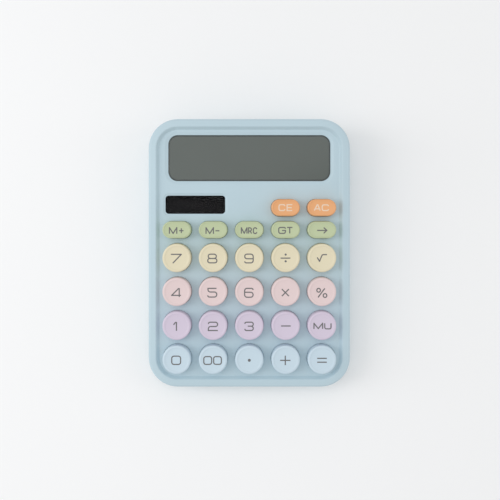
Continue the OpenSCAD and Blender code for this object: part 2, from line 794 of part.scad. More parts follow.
for (k = KEYS) key(k);
top_case();
bottom_case();
battery_door();
feet();
case_screws();
display_window();
solar_window();
solar_cell();
lcd_glass();
lcd_polarizer();
lcd_reflector();
lcd_frame();
zebra_strips();
circuit_board();
board_screws();
rubber_keypad();
carbon_pills();
chip_blob();
capacitor();
resistors();
diodes();
battery();
battery_spring();
battery_plate();
battery_wire_red();
battery_wire_black();
solar_wire_red();
solar_wire_black();
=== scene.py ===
# A desk calculator with a sloping face, put together in the order of a maker's bench: the desk and
# its light, the lower shell and what it holds, the board and mat, the display, the upper shell,
# its windows, the keys with their printed legends, and last the case's screws.
import json
import math

import bmesh
import bpy
from mathutils import Matrix, Vector


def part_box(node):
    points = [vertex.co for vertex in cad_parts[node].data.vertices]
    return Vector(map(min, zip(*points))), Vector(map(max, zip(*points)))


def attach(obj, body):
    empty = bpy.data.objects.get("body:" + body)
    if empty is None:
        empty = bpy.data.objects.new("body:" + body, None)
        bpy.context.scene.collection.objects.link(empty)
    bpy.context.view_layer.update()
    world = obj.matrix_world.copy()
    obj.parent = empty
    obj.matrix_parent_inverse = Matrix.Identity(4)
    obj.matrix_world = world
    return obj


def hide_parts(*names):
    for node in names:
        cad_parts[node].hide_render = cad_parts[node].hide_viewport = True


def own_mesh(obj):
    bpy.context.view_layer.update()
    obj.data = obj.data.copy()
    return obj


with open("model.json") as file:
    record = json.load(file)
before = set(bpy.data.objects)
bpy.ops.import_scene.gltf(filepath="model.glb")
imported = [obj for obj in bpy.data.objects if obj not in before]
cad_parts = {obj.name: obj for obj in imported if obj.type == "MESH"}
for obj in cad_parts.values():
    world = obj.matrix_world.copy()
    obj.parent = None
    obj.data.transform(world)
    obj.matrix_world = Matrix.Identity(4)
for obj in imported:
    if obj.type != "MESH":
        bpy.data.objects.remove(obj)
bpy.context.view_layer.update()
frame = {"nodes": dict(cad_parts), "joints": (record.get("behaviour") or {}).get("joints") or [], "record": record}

nodes = frame["nodes"]

# ------------ The sloping face
# Every key travels straight down into the face, so the face's slope is that of a key's own axis.
# Most pieces are drawn in face millimetres: x to the right, y up the slope, z out of the rim.
MM = 0.001
press = next(joint for joint in frame["joints"] if joint["name"] == "key_5_press")
out_of_face = -Vector(press["axis"]).normalized()
up_the_slope = out_of_face.cross(Vector((1, 0, 0)))
turn = Matrix((Vector((1, 0, 0)), up_the_slope, out_of_face))


def reach(points):
    """The lowest and the highest corner of some points."""
    columns = list(zip(*points))
    return Vector([min(c) for c in columns]), Vector([max(c) for c in columns])


shell_low, shell_high = reach([turn @ v.co for v in nodes["top_case"].data.vertices])
face_middle = Vector((0, (shell_low.y + shell_high.y) / 2, shell_high.z))
FACE = (Matrix.Translation(turn.transposed() @ face_middle) @ turn.transposed().to_4x4()
        @ Matrix.Scale(MM, 4))
TO_FACE = FACE.inverted()
DESK = Matrix.Scale(MM, 4)


def on_face(node):
    """A node's lowest and highest corner, in face millimetres."""
    return reach([TO_FACE @ v.co for v in nodes[node].data.vertices])


def on_desk(node):
    """A node's lowest and highest corner, in millimetres above the desk."""
    low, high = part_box(node)
    return low / MM, high / MM


body_w = (shell_high.x - shell_low.x) / MM
body_l = (shell_high.y - shell_low.y) / MM

# ------------ The view and the desk
# The camera looks straight down onto the face from an arm's length, a little nearer the display.
# A pale desk in a pale room, with a large soft box on the left and weaker ones right and above.
camera_spot = (0.37, 17.4, 400)
lens = 52.95
sensor_w = 36
rise_of_axis = 29 / 500
nearest = 0.01
desk_half = 3.0


def put(name, data, at=Matrix.Identity(4)):
    """A new object in the scene, at its place."""
    made = bpy.data.objects.new(name, data)
    made.matrix_world = at
    bpy.context.scene.collection.objects.link(made)
    return made


camera = put("camera", bpy.data.cameras.new("camera"),
             Matrix.Translation(FACE @ Vector(camera_spot)) @ turn.transposed().to_4x4())
camera.data.lens = lens
camera.data.sensor_width = sensor_w
camera.data.shift_y = -rise_of_axis
camera.data.clip_start = nearest
bpy.context.scene.camera = camera
bpy.context.scene.view_settings.view_transform = "Standard"


def soft_box(name, place, size, watts):
    """A square lamp of soft light that faces the middle of the calculator."""
    lamp = bpy.data.lights.new(name, "AREA")
    lamp.shape = "RECTANGLE"
    lamp.size, lamp.size_y = size
    lamp.energy = watts
    lit = put(name, lamp)
    lit.location = place
    lit.rotation_euler = (-Vector(place)).to_track_quat("-Z", "Y").to_euler()


soft_box("soft_box_left", (-0.80, 0.02, 0.60), (0.45, 0.9), 2.9)
soft_box("soft_box_right", (0.86, 0.02, 0.50), (0.35, 0.8), 0.74)
soft_box("overhead", (-0.10, 0.15, 0.95), (0.5, 0.5), 0.62)


def srgb(red, green, blue):
    """A colour written as 0 to 255, as the linear colour that a shader takes."""
    linear = []
    for part in (red, green, blue):
        value = part / 255
        linear.append(value / 12.92 if value <= 0.04045 else ((value + 0.055) / 1.055) ** 2.4)
    return (*linear, 1.0)


def feed(tree, node, inputs):
    """Sets a node's inputs to values, or links them from sockets or from nodes' first outputs."""
    for name, value in inputs.items():
        if isinstance(value, bpy.types.Node):
            value = value.outputs[0]
        if isinstance(value, bpy.types.NodeSocket):
            tree.links.new(value, node.inputs[name])
        else:
            node.inputs[name].default_value = value
    return node


def add(tree, kind, inputs=None, **settings):
    """A new node in a shader or geometry tree, with its settings and inputs."""
    made = tree.nodes.new(kind)
    for name, value in settings.items():
        setattr(made, name, value)
    return feed(tree, made, inputs or {})


def work_out(tree, operation, *values):
    """A sum in a shader tree."""
    return add(tree, "ShaderNodeMath", dict(enumerate(values)), operation=operation)


world = bpy.data.worlds.new("pale_room")
world.use_nodes = True
room = world.node_tree
room.nodes.clear()
light = add(room, "ShaderNodeBackground", {"Color": srgb(238, 239, 240), "Strength": 0.84})
backdrop = add(room, "ShaderNodeBackground", {"Color": srgb(250, 250, 250), "Strength": 1.0})
rays = add(room, "ShaderNodeLightPath").outputs
seen = work_out(room, "MAXIMUM", rays["Is Camera Ray"], rays["Is Transmission Ray"])
chosen = add(room, "ShaderNodeMixShader", {0: seen, 1: light, 2: backdrop})
add(room, "ShaderNodeOutputWorld", {"Surface": chosen})
bpy.context.scene.world = world


def own_place(tree):
    """A piece's own coordinates, in metres."""
    return add(tree, "ShaderNodeTexCoord").outputs["Object"]


def noise(tree, scale, detail=2.0, vector=None, **more):
    """Noise over a piece, so many cells to the metre: a share from 0 to 1."""
    return add(tree, "ShaderNodeTexNoise",
               {"Vector": vector or own_place(tree), "Scale": scale, "Detail": detail, **more})


def blend(tree, share, first, second):
    """The first colour, turned into the second by a share. The node's two colours have no names of
    their own, so they go in by number: 6 and 7, with the mixed colour at output 2."""
    return add(tree, "ShaderNodeMix", {"Factor": share, 6: first, 7: second},
               data_type="RGBA").outputs[2]


def shader(name, **constants):
    """A material with one Principled shader, its constant sockets set, and its node tree."""
    made = bpy.data.materials.new(name)
    made.use_nodes = True
    tree = made.node_tree
    feed(tree, tree.nodes["Principled BSDF"],
         {socket.replace("_", " "): value for socket, value in constants.items()})
    return made, tree


def paint(tree, colour, roughness, height=None, depth=0.0, strength=0.6):
    """Gives a material's shader a colour, a roughness and bumps some millimetres deep."""
    sockets = {"Base Color": colour, "Roughness": roughness}
    if height:
        sockets["Normal"] = add(tree, "ShaderNodeBump", {"Height": height, "Distance": depth * MM,
                                "Strength": strength})
    feed(tree, tree.nodes["Principled BSDF"], sockets)


desk_top, tree = shader("desk_top", Specular_IOR_Level=0.2)
paint(tree, blend(tree, noise(tree, 3.0), srgb(246, 246, 246), srgb(249, 249, 249)), 0.7)
desk_mesh = bpy.data.meshes.new("desk")
desk_mesh.from_pydata([(x * desk_half, y * desk_half, 0) for x, y in
                       ((-1, -1), (1, -1), (1, 1), (-1, 1))], [], [(0, 1, 2, 3)])
desk_mesh.materials.append(desk_top)
desk = put("desk", desk_mesh)

# ------------ Lower shell
# The floor and walls of the case, injection-moulded in pale blue ABS with a fine matt grain.
# A lip stands up inside the upper shell; screw posts, foot pads and the battery bay rise inside.
corner_r = 16.0
case_wall = 2.0
floor_t = 2.0
split = -8.0
foot_h = on_desk("bottom_case")[0].z


def rectangle(w, l, r, spot=(0, 0), steps=12):
    """Posts round a rectangle with round corners: (centre, outward direction, corner radius)."""
    x, y = spot[:2]
    posts = []
    for quarter, (side, end) in enumerate(((1, 1), (-1, 1), (-1, -1), (1, -1))):
        centre = Vector((x + side * (w / 2 - r), y + end * (l / 2 - r)))
        for step in range(steps + 1):
            angle = math.pi / 2 * (quarter + step / steps)
            posts.append((centre, Vector((math.cos(angle), math.sin(angle))), r))
    spots = [centre + out * r for centre, out, r in posts]
    return [post for i, post in enumerate(posts) if (spots[i] - spots[i - 1]).length > 1e-6]


def circle(d, spot=(0, 0), steps=12):
    """Posts round a circle."""
    return rectangle(d, d, d / 2, spot, steps)


def rounded(corners, steps=5):
    """A section as (reach, height) pairs; a corner with a third number is rounded to it."""
    path = []
    for i, (*corner, radius) in enumerate([(*c, 0)[:3] for c in corners]):
        here = Vector(corner)
        if not radius:
            path.append(here)
            continue
        back = (Vector(corners[i - 1][:2]) - here).normalized()
        on = (Vector(corners[i + 1][:2]) - here).normalized()
        half = back.angle(on) / 2
        centre = here + (back + on).normalized() * radius / math.sin(half)
        start = here + back * radius / math.tan(half) - centre
        end = here + on * radius / math.tan(half) - centre
        sweep = math.pi - 2 * half
        for step in range(steps + 1):
            share = sweep * step / steps
            path.append(centre + (start * math.sin(sweep - share) + end * math.sin(share))
                        / math.sin(sweep))
    return path


def cast(name, bm, at):
    """A new object with the mesh that has been built up."""
    made = put(name, bpy.data.meshes.new(name), at)
    bm.to_mesh(made.data)
    bm.free()
    return made


def solid(name, posts, *sections, at=FACE, loop=False):
    """A closed skin through rings of points. A section is a path, or (path, ground) where ground
    gives the height that the path is measured from; loop joins the last ring to the first."""
    bm = bmesh.new()
    rings = []
    for section in sections:
        path, ground = section if isinstance(section, tuple) else (section, lambda spot: 0)
        for reached, height in path:
            spots = [centre + out * (r + reached) for centre, out, r in posts]
            rings.append([bm.verts.new((*spot, ground(spot) + height)) for spot in spots])
    for low, high in zip(rings, rings[1:] + (rings[:1] if loop else [])):
        for i in range(len(low)):
            bm.faces.new((low[i - 1], low[i], high[i], high[i - 1]))
    if not loop:
        bm.faces.new(rings[0])
        bm.faces.new(rings[-1])
    bmesh.ops.remove_doubles(bm, verts=bm.verts, dist=5e-3)
    bmesh.ops.recalc_face_normals(bm, faces=bm.faces)
    return cast(name, bm, at)


def shape(body, mode, *tools):
    """Cuts the tools out of a solid, adds them to it or keeps what they share, and drops them."""
    for tool in tools:
        change = body.modifiers.new("change", "BOOLEAN")
        change.operation = mode
        change.solver = "MANIFOLD"
        change.object = tool
    settle(body)
    for tool in tools:
        bpy.data.objects.remove(tool)
    return body


def settle(piece):
    """Turns a piece's modifiers into plain mesh."""
    bpy.context.view_layer.update()
    ready = piece.evaluated_get(bpy.context.evaluated_depsgraph_get())
    plain = bpy.data.meshes.new_from_object(ready)
    piece.modifiers.clear()
    piece.data = plain


smooth_up_to = math.radians(35)


def place(piece, material, body, slot=None, replaces=()):
    """Finishes a piece: its place goes into its mesh, round faces shade smoothly, and it rides."""
    piece.data.transform(piece.matrix_world)
    piece.matrix_world = Matrix.Identity(4)
    bm = bmesh.new()
    bm.from_mesh(piece.data)
    bmesh.ops.remove_doubles(bm, verts=bm.verts, dist=1e-7)
    bmesh.ops.dissolve_degenerate(bm, edges=bm.edges, dist=1e-7)
    bm.to_mesh(piece.data)
    bm.free()
    piece.data.shade_smooth()
    piece.data.set_sharp_from_angle(angle=smooth_up_to)
    shading = piece.modifiers.new("shading", "WEIGHTED_NORMAL")
    shading.keep_sharp = True
    settle(piece)
    piece.data.name = piece.name
    piece.data.materials.clear()
    piece.data.materials.append(material)
    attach(piece, body)
    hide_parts(*replaces)
    return piece


def floor_plane(spot):
    """The height on the face's axis at which the case's floor passes under a spot."""
    start = FACE @ Vector((spot.x, spot.y, 0))
    return (foot_h * MM - start.z) / (out_of_face.z * MM)


def spread(node, to=TO_FACE):
    """The boxes of a node's separate solids, as (low, high) in face or desk millimetres."""
    bm = bmesh.new()
    bm.from_mesh(nodes[node].data)
    bmesh.ops.remove_doubles(bm, verts=bm.verts, dist=1e-6)
    left = set(bm.verts)
    boxes = []
    while left:
        group, edge = [], [left.pop()]
        while edge:
            vert = edge.pop()
            group.append(to @ vert.co)
            near = {e.other_vert(vert) for e in vert.link_edges} & left
            left -= near
            edge.extend(near)
        boxes.append(reach(group))
    bm.free()
    return sorted(boxes, key=lambda box: (round(box[0].y, 2), round(box[0].x, 2)))


def node_group(kind, name, inputs, outputs):
    """An empty tree with named sockets of some kinds: the tree, what it is given, and its end."""
    tree = bpy.data.node_groups.new(name, kind + "NodeTree")
    for in_out, sockets in (("INPUT", inputs), ("OUTPUT", outputs)):
        for socket, value in sockets.items():
            tree.interface.new_socket(socket, in_out=in_out, socket_type="NodeSocket" + value)
    return tree, tree.nodes.new("NodeGroupInput").outputs, tree.nodes.new("NodeGroupOutput")


def ramp(tree, value, low, high, start=0.0, end=1.0):
    """A value between start and end, stretched to lie between low and high."""
    return add(tree, "ShaderNodeMapRange", {"Value": value, "From Min": start, "From Max": end,
               "To Min": low, "To Max": high})


# Moulded plastic: a fine spark-eroded grain, faint clouding in the colour and in the gloss
skin_sockets = {"Colour": "Color", "Roughness": "Float", "Height": "Float"}
noise_span = (0.3, 0.7)
gloss_swing = 0.05
moulded, given, result = node_group("Shader", "moulded_surface", {
    "Colour": "Color", "Clouding": "Float", "Grain": "Float", "Gloss": "Float"}, skin_sockets)
grain = noise(moulded, given["Grain"], Roughness=0.6)
clouds = work_out(moulded, "MULTIPLY", noise(moulded, 55.0, 3.0), given["Clouding"])
darker = add(moulded, "ShaderNodeHueSaturation",
             {"Color": given["Colour"], "Saturation": 1.06, "Value": 0.93})
feed(moulded, result, {
    "Colour": blend(moulded, clouds, given["Colour"], darker),
    "Roughness": ramp(moulded, grain, work_out(moulded, "SUBTRACT", given["Gloss"], gloss_swing),
                      work_out(moulded, "ADD", given["Gloss"], gloss_swing), *noise_span),
    "Height": grain})


def grouped(name, group, values, depth, strength, **constants):
    """A material whose colour, gloss and bumps come from a shader group with its own values."""
    made, tree = shader(name, **constants)
    skin = add(tree, "ShaderNodeGroup", values, node_tree=group).outputs
    paint(tree, skin["Colour"], skin["Roughness"], skin["Height"], depth, strength)
    return made


def plastic(name, colour, gloss=0.45, grain=2600.0, clouding=0.5, depth=0.010, strength=0.6,
            **constants):
    """Moulded plastic in one colour; depth is that of its grain, in millimetres."""
    return grouped(name, moulded, {"Colour": colour, "Clouding": clouding, "Grain": grain,
                   "Gloss": gloss}, depth, strength, **constants)


case_plastic = plastic("case_abs", srgb(189, 210, 219), gloss=0.5, grain=3000.0, clouding=0.45)
walls = rectangle(body_w, body_l, corner_r)
inner_walls = rectangle(body_w - 2 * case_wall, body_l - 2 * case_wall, corner_r - case_wall)


def lower_block(name):
    """The outside of the lower shell, as a solid: a soft lower edge, and a joint line above."""
    return solid(name, walls, (rounded([(-4, 0), (0, 0, 1.6), (0, 4)]), floor_plane),
                 rounded([(0, split - 1), (0, split, 0.25), (-1, split)]))


def box(name, low, high, r=0.0, at=DESK):
    """A block between two corners, with round upright edges."""
    size = Vector(high) - Vector(low)
    middle = (Vector(high) + Vector(low)) / 2
    return solid(name, rectangle(size.x, size.y, r or 0.02, middle, 3 if r else 1),
                 [(0, low[2]), (0, high[2])], at=at)


lip_out = -case_wall - 0.15
lip_in = lip_out - 1.0
lip_top = split + 1.5
lower = lower_block("lower_shell")
shape(lower, "DIFFERENCE", solid("hollow", inner_walls, (rounded([(-5, floor_t), (0, floor_t, 0.9),
      (0, 5)]), floor_plane), [(0, split + 1)]))
shape(lower, "UNION", solid("lip", walls, rounded([
    (-1, split - 0.2), (-1, split - 2), (lip_in, split - 3), (lip_in, lip_top, 0.2),
    (lip_out, lip_top, 0.2), (lip_out, split - 0.2)], 3), loop=True))


def middles(boxes):
    """The middle of each box."""
    return [(low + high) / 2 for low, high in boxes]


screw_boxes = spread("case_screws")
screw_spots = middles(screw_boxes)
head_seat = -11.0
screw_way_d = 2.6
well_d = screw_boxes[0][1].x - screw_boxes[0][0].x + 0.6
post_d = well_d + 2.4
post_top = -7.6
for spot in screw_spots:
    shape(lower, "UNION", solid("post", circle(post_d, spot), ([(0, 1)], floor_plane),
          rounded([(0, -post_d), (0, post_top, 0.3), (-1, post_top)])))
foot_boxes = spread("feet", DESK.inverted())
foot_spots = middles(foot_boxes)
foot_d = foot_boxes[0][1].x - foot_boxes[0][0].x
foot_pocket = foot_boxes[0][1].z
pad_top = foot_h + floor_t + 0.8
for spot in foot_spots:
    shape(lower, "UNION", solid("pad", circle(foot_d + 3, spot),
          rounded([(0, foot_h + 1), (0, pad_top, 0.4), (-2, pad_top)]), at=DESK))

# The battery bay stands across the rear: two long walls, two ends and a roof that is open at each
# end for the contacts. Rails hold the door's tongues, and the door's way out cuts the rear wall.
door_low, door_high = on_desk("battery_door")
door_top = foot_h + 2.3
door_gap = 0.2
door_run = 9
tongue_w = 1.5
tongue_t = 1.0
battery_low, battery_high = on_desk("battery")
battery_z = (battery_low.z + battery_high.z) / 2
bay_y = (battery_low.y + battery_high.y) / 2
bay_half_l = on_desk("battery_plate")[1].x
bay_half_w = (battery_high.y - battery_low.y) / 2 + 0.4
bay_wall = 1.4
bay_roof = battery_high.z + 0.4
slot_half = 3
slot_l = 1.5
shape(lower, "UNION", box("bay", (-bay_half_l - bay_wall, bay_y - bay_half_w - bay_wall, 2),
      (bay_half_l + bay_wall, bay_y + bay_half_w + bay_wall, bay_roof + bay_wall), 0.8))
shape(lower, "DIFFERENCE",
      box("cell_space", (-bay_half_l, bay_y - bay_half_w, 0),
          (bay_half_l, bay_y + bay_half_w, bay_roof), 0.5),
      *(box("contact_slot", (x, bay_y - slot_half, bay_roof - 1),
            (x + slot_l, bay_y + slot_half, bay_roof + 5))
        for x in (-bay_half_l, bay_half_l - slot_l)))


def door_space(gap):
    """The room for the door in the floor, grown by a gap: a wide plate and two tongues."""
    plate = box("plate", (door_low.x + tongue_w - gap, door_low.y - gap, -1),
                (door_high.x - tongue_w + gap, door_high.y + door_run, door_top + gap), 0.6)
    tongues = box("tongues", (door_low.x - gap, door_low.y - gap, door_top - tongue_t - gap),
                  (door_high.x + gap, door_high.y + door_run, door_top + gap), 0.5)
    return shape(plate, "UNION", tongues)


rail_half = 1.75
for side in (-1, 1):
    rail_x = side * ((door_high.x - door_low.x) / 2 + 0.5)
    shape(lower, "UNION", box("rail", (rail_x - rail_half, door_low.y - 2, foot_h + 1),
          (rail_x + rail_half, bay_y + bay_half_w + 4, door_top + 1.6), 0.4))
shape(lower, "UNION", box("front_stop", (door_low.x, door_low.y - 2, foot_h + 1),
      (door_high.x, door_low.y + 2, door_top + door_gap + 1.2), 0.4))
shape(lower, "DIFFERENCE", door_space(door_gap))
for spot in screw_spots:
    shape(lower, "DIFFERENCE",
          solid("well", circle(well_d, spot),
                (rounded([(1.5, -0.4), (0, -0.05, 0.35), (0, 3)]), floor_plane), [(0, head_seat)]),
          solid("screw_way", circle(screw_way_d, spot), [(0, head_seat - 1), (0, 0)]))
for spot in foot_spots:
    shape(lower, "DIFFERENCE", solid("pocket", circle(foot_d + 0.2, spot),
          [(0, 0), (0, foot_pocket)], at=DESK))
lower.name = "lower_shell"
place(lower, case_plastic, "case", "case", ["bottom_case"])

# ------------ Feet
# Four discs of dark self-adhesive rubber with a ring moulded into the underside, pressed into
# shallow pockets near the corners of the floor.
rubber = plastic("foot_rubber", srgb(46, 47, 50), gloss=0.78, grain=1500.0, clouding=1.2,
                 depth=0.03, strength=0.7, Specular_IOR_Level=0.3)


def geometry_tree(name, kinds):
    """An empty geometry tree: geometry, inputs of some kinds and a material in, geometry out."""
    return node_group("Geometry", name, {"Geometry": "Geometry", **kinds, "Material": "Material"},
                      {"Geometry": "Geometry"})


def finish_tree(tree, given, result, made):
    """Ends a geometry tree: instances become mesh, and the mesh gets the piece's material."""
    real = add(tree, "GeometryNodeRealizeInstances", {0: made})
    painted = add(tree, "GeometryNodeSetMaterial",
                  {"Geometry": real, "Material": given["Material"]})
    feed(tree, result, {0: painted})


def grow(name, tree, start, at=FACE, **inputs):
    """An object whose mesh a geometry tree makes from a start mesh and the inputs."""
    made = put(name, start, at)
    change = made.modifiers.new("grow", "NODES")
    change.node_group = tree
    for item in tree.interface.items_tree:
        if item.in_out == "INPUT" and item.name in inputs:
            change[item.identifier] = inputs[item.name]
    settle(made)
    made.matrix_world = at
    return made


def dots(spots):
    """A mesh of loose points, for a tree to set things out on."""
    mesh = bpy.data.meshes.new("dots")
    mesh.from_pydata([tuple(spot) for spot in spots], [], [])
    return mesh


# Copies one pattern to every point, each turned at random: the random node's socket 3 is the most
# that a number may be, and its output 1 is the number
set_out, given, result = geometry_tree("set_out", {"Turn": "Float", "Pattern": "Object"})
pattern = add(set_out, "GeometryNodeObjectInfo", {"Object": given["Pattern"]},
              transform_space="ORIGINAL")
any_turn = add(set_out, "FunctionNodeRandomValue", {3: given["Turn"], "Seed": 7},
               data_type="FLOAT")
about_z = add(set_out, "ShaderNodeCombineXYZ", {"Z": any_turn.outputs[1]})
copies = add(set_out, "GeometryNodeInstanceOnPoints", {"Points": given["Geometry"],
             "Instance": pattern.outputs["Geometry"], "Rotation": about_z})
finish_tree(set_out, given, result, copies)


def lay_out(name, pattern, spots, material, body, slot=None, replaces=(), turned=0.0, at=FACE):
    """One piece made of copies of a pattern, set out on some spots."""
    made = grow(name, set_out, dots(spots), at, Turn=turned, Pattern=pattern, Material=material)
    bpy.data.objects.remove(pattern)
    return place(made, material, body, slot, replaces)


ring_reach = 0.8
foot = solid("foot", circle(foot_d), rounded([(-3, 0), (0, 0, 0.5), (0, foot_pocket, 0.15),
             (-2, foot_pocket)]), at=DESK)
shape(foot, "DIFFERENCE", solid("ring", circle(foot_d - 2.2), rounded([
    (0, -0.2), (0, 0.12, 0.05), (-ring_reach, 0.12, 0.05), (-ring_reach, -0.2)], 2),
    at=DESK, loop=True))
lay_out("feet", foot, [(spot.x, spot.y, 0) for spot in foot_spots], rubber, "case",
        "foot_rubber", ["feet"], at=DESK)

# ------------ Battery door
# A flat door in the floor, moulded in the case's plastic. Tongues along its sides run in grooves,
# and it slides out to the rear; five shallow grooves give the thumb a grip.
grip_rows = 5
grip_w = 20
grip_l = 1.1
grip_pitch = 2.0
door = shape(lower_block("battery_door_panel"), "INTERSECT", door_space(0))
for row in range(grip_rows):
    grip_y = bay_y + 4.5 - row * grip_pitch
    shape(door, "DIFFERENCE", solid("grip", rectangle(grip_w, grip_l, 0.5, (0, grip_y), 4),
          [(-0.3, foot_h + 0.5), (0, foot_h + 0.1), (0.15, foot_h - 0.6)], at=DESK))
place(door, case_plastic, "battery_door", "case", ["battery_door"])

# ------------ Battery
# One dry cell: a steel can with a nub on its plus end, in a plain printed plastic sleeve whose
# ends are shrunk over the can. It lies crossways in the bay, plus end to the right.
ALONG_X = Matrix.Rotation(math.pi / 2, 4, "Y")
battery_l = battery_high.x - battery_low.x
battery_d = battery_high.y - battery_low.y
battery_r = battery_d / 2
nub_r = battery_d * 0.18
nub_l = 1.0
can_l = battery_l - nub_l
can_reach = -0.25
band_share = (0.715, 0.72)

# Plated metal: fine streaks along the rolling direction and cloudy tarnish
plated, given, result = node_group("Shader", "plated_metal", {
    "Colour": "Color", "Streaks": "Float", "Tarnish": "Float"}, skin_sockets)
stretched = add(plated, "ShaderNodeMapping", {"Vector": own_place(plated),
                "Scale": (1.0, 12.0, 12.0)})
streaks = noise(plated, given["Streaks"], 3.0, stretched.outputs[0])
stains = work_out(plated, "MULTIPLY", noise(plated, 160.0, 4.0), given["Tarnish"])
dull = add(plated, "ShaderNodeHueSaturation", {"Color": given["Colour"], "Value": 0.6})
feed(plated, result, {"Colour": blend(plated, stains, given["Colour"], dull),
                      "Roughness": ramp(plated, streaks, 0.22, 0.42, *noise_span),
                      "Height": streaks})


def metal(name, colour, streaks=400.0, tarnish=0.5):
    """Plated sheet or wire in one colour."""
    return grouped(name, plated, {"Colour": colour, "Streaks": streaks, "Tarnish": tarnish},
                   0.004, 0.4, Metallic=1.0)


def along(tree, axis):
    """How far along an axis a piece's surface lies, in metres."""
    return add(tree, "ShaderNodeSeparateXYZ", {0: own_place(tree)}).outputs[axis]


def lying(x, turned=ALONG_X):
    """The place of a part that is turned to lie on the cell's axis, from x on."""
    return DESK @ Matrix.Translation((x, bay_y, battery_z)) @ turned


nickel = metal("nickel_plate", srgb(196, 198, 202))
can = solid("battery_can", circle(battery_d, steps=16), rounded([
    (-battery_r, 0.35), (-1.6, 0.35, 0.2), (-1.3, 0, 0.2), (can_reach, 0, 0.6),
    (can_reach, can_l, 0.7), (-1.5, can_l, 0.2), (-1.9, can_l - 0.3, 0.2),
    (nub_r - battery_r, can_l - 0.3, 0.2), (nub_r - battery_r, battery_l, 0.4),
    (-battery_r, battery_l)], 4), at=lying(battery_low.x))
place(can, nickel, "case", "battery_can", ["battery"])
sleeve, tree = shader("battery_sleeve", Coat_Weight=0.3)
band = ramp(tree, along(tree, "X"), 0.0, 1.0,
            *((battery_low.x + battery_l * share) * MM for share in band_share))
wrinkles = noise(tree, 700.0, 3.0)
paint(tree, blend(tree, band, srgb(62, 66, 74), srgb(214, 170, 92)),
      ramp(tree, wrinkles, 0.25, 0.4), wrinkles, 0.01, 0.5)
jacket = solid("battery_jacket", circle(battery_d, steps=16), rounded([
    (-0.2, 0.5), (-0.9, 0.12), (-0.95, -0.02), (0, -0.02, 0.5), (0, can_l + 0.02, 0.5),
    (-1.0, can_l + 0.05), (-0.9, can_l - 0.1), (-0.2, can_l - 0.5)], 4),
    at=lying(battery_low.x), loop=True)
place(jacket, sleeve, "case", "battery_can")

# ------------ Battery contacts
# The minus contact is a plated plate with a coned coil on it, the plus contact a plate with a
# pressed dimple; each has a tab that sticks up through the bay's roof for its lead.
wire_d = 0.6
coil_turns = 3.5
plate_t = 0.4
plate_half = battery_d * 0.45
tab_half = 1.5
tab_top = on_desk("battery_spring")[1].z
dimple_d = 5.2
dimple_h = 1.0
coil, given, result = geometry_tree("coil_spring", dict.fromkeys(
    ("Turns", "Base radius", "Tip radius", "Length", "Wire radius"), "Float"))
helix = add(coil, "GeometryNodeCurveSpiral", {"Resolution": 40, "Rotations": given["Turns"],
            "Start Radius": given["Base radius"], "End Radius": given["Tip radius"],
            "Height": given["Length"]})
section = add(coil, "GeometryNodeCurvePrimitiveCircle",
              {"Resolution": 12, "Radius": given["Wire radius"]})
wound = add(coil, "GeometryNodeCurveToMesh", {"Curve": helix, "Profile Curve": section,
            "Fill Caps": True})
finish_tree(coil, given, result, wound)
spring = grow("battery_spring", coil, dots([]), lying(-bay_half_l + plate_t + wire_d / 2), **{
    "Turns": coil_turns, "Base radius": battery_d * 0.4, "Tip radius": battery_d * 0.2,
    "Length": battery_low.x + bay_half_l - plate_t - wire_d, "Wire radius": wire_d / 2,
    "Material": nickel})
place(spring, nickel, "case", "contact_steel", ["battery_spring"])


def contact(name, x):
    """A contact plate with a tab, seen along x."""
    plate = box(name, (x, bay_y - plate_half, battery_low.z + 0.2),
                (x + plate_t, bay_y + plate_half, bay_roof - 0.2))
    return shape(plate, "UNION", box("tab", (x, bay_y - tab_half, bay_roof - 1),
                 (x + plate_t, bay_y + tab_half, tab_top)))


place(contact("minus_plate", -bay_half_l), nickel, "case", "contact_steel")
dimple = solid("dimple", circle(dimple_d), rounded([
    (0, 0), (-0.9, dimple_h, 0.3), (-dimple_d / 2, dimple_h)], 4),
    at=lying(bay_half_l - plate_t + 0.05, ALONG_X.inverted()))
place(shape(contact("plus_plate", bay_half_l - plate_t), "UNION", dimple),
      nickel, "case", "contact_steel", ["battery_plate"])

# ------------ Circuit board
# One board of green-lacquered phenolic, screwed under the upper shell. Its top carries a printed
# carbon comb under every key; the chip, three resistors, two diodes and a capacitor are below.
lacquer_green = srgb(38, 104, 62)
board, tree = shader("board_lacquer", Coat_Weight=0.25, Coat_Roughness=0.2)
tracks = add(tree, "ShaderNodeTexBrick", {
    "Vector": own_place(tree), "Scale": 1.0, "Mortar Size": 0.00016, "Mortar Smooth": 0.2,
    "Brick Width": 0.0065, "Row Height": 0.0013, "Color1": lacquer_green,
    "Color2": lacquer_green, "Mortar": srgb(66, 134, 84)})
weave = noise(tree, 900.0)
paint(tree, blend(tree, weave, tracks, srgb(30, 88, 52)), ramp(tree, weave, 0.3, 0.5),
      tracks.outputs["Fac"], 0.03)


def keep(node, material):
    """A CAD node that is shown as it is, in a material of its own."""
    nodes[node].data.materials.clear()
    nodes[node].data.materials.append(material)


keep("circuit_board", board)
key_names = [name for name in frame["record"]["behaviour"]["bodies"] if name.startswith("key_")]
key_boxes = {name: on_face(name) for name in key_names}
key_spots = {name: (low + high) / 2 for name, (low, high) in key_boxes.items()}
board_top = on_face("circuit_board")[1].z
comb_l = 4.6
comb_t = 0.03
finger_count = 7
finger_half = 0.175
finger_pitch = 0.7
finger_gap = 0.35
bar_half = 0.2


def blocks(name, corners):
    """Several separate small blocks in one mesh, each between two corners."""
    bm = bmesh.new()
    for low, high in corners:
        size = Vector(high) - Vector(low)
        middle = (Vector(high) + Vector(low)) / 2
        bmesh.ops.create_cube(bm, size=1, matrix=Matrix.Translation(middle)
                              @ Matrix.Diagonal((*size, 1)))
    return cast(name, bm, FACE)


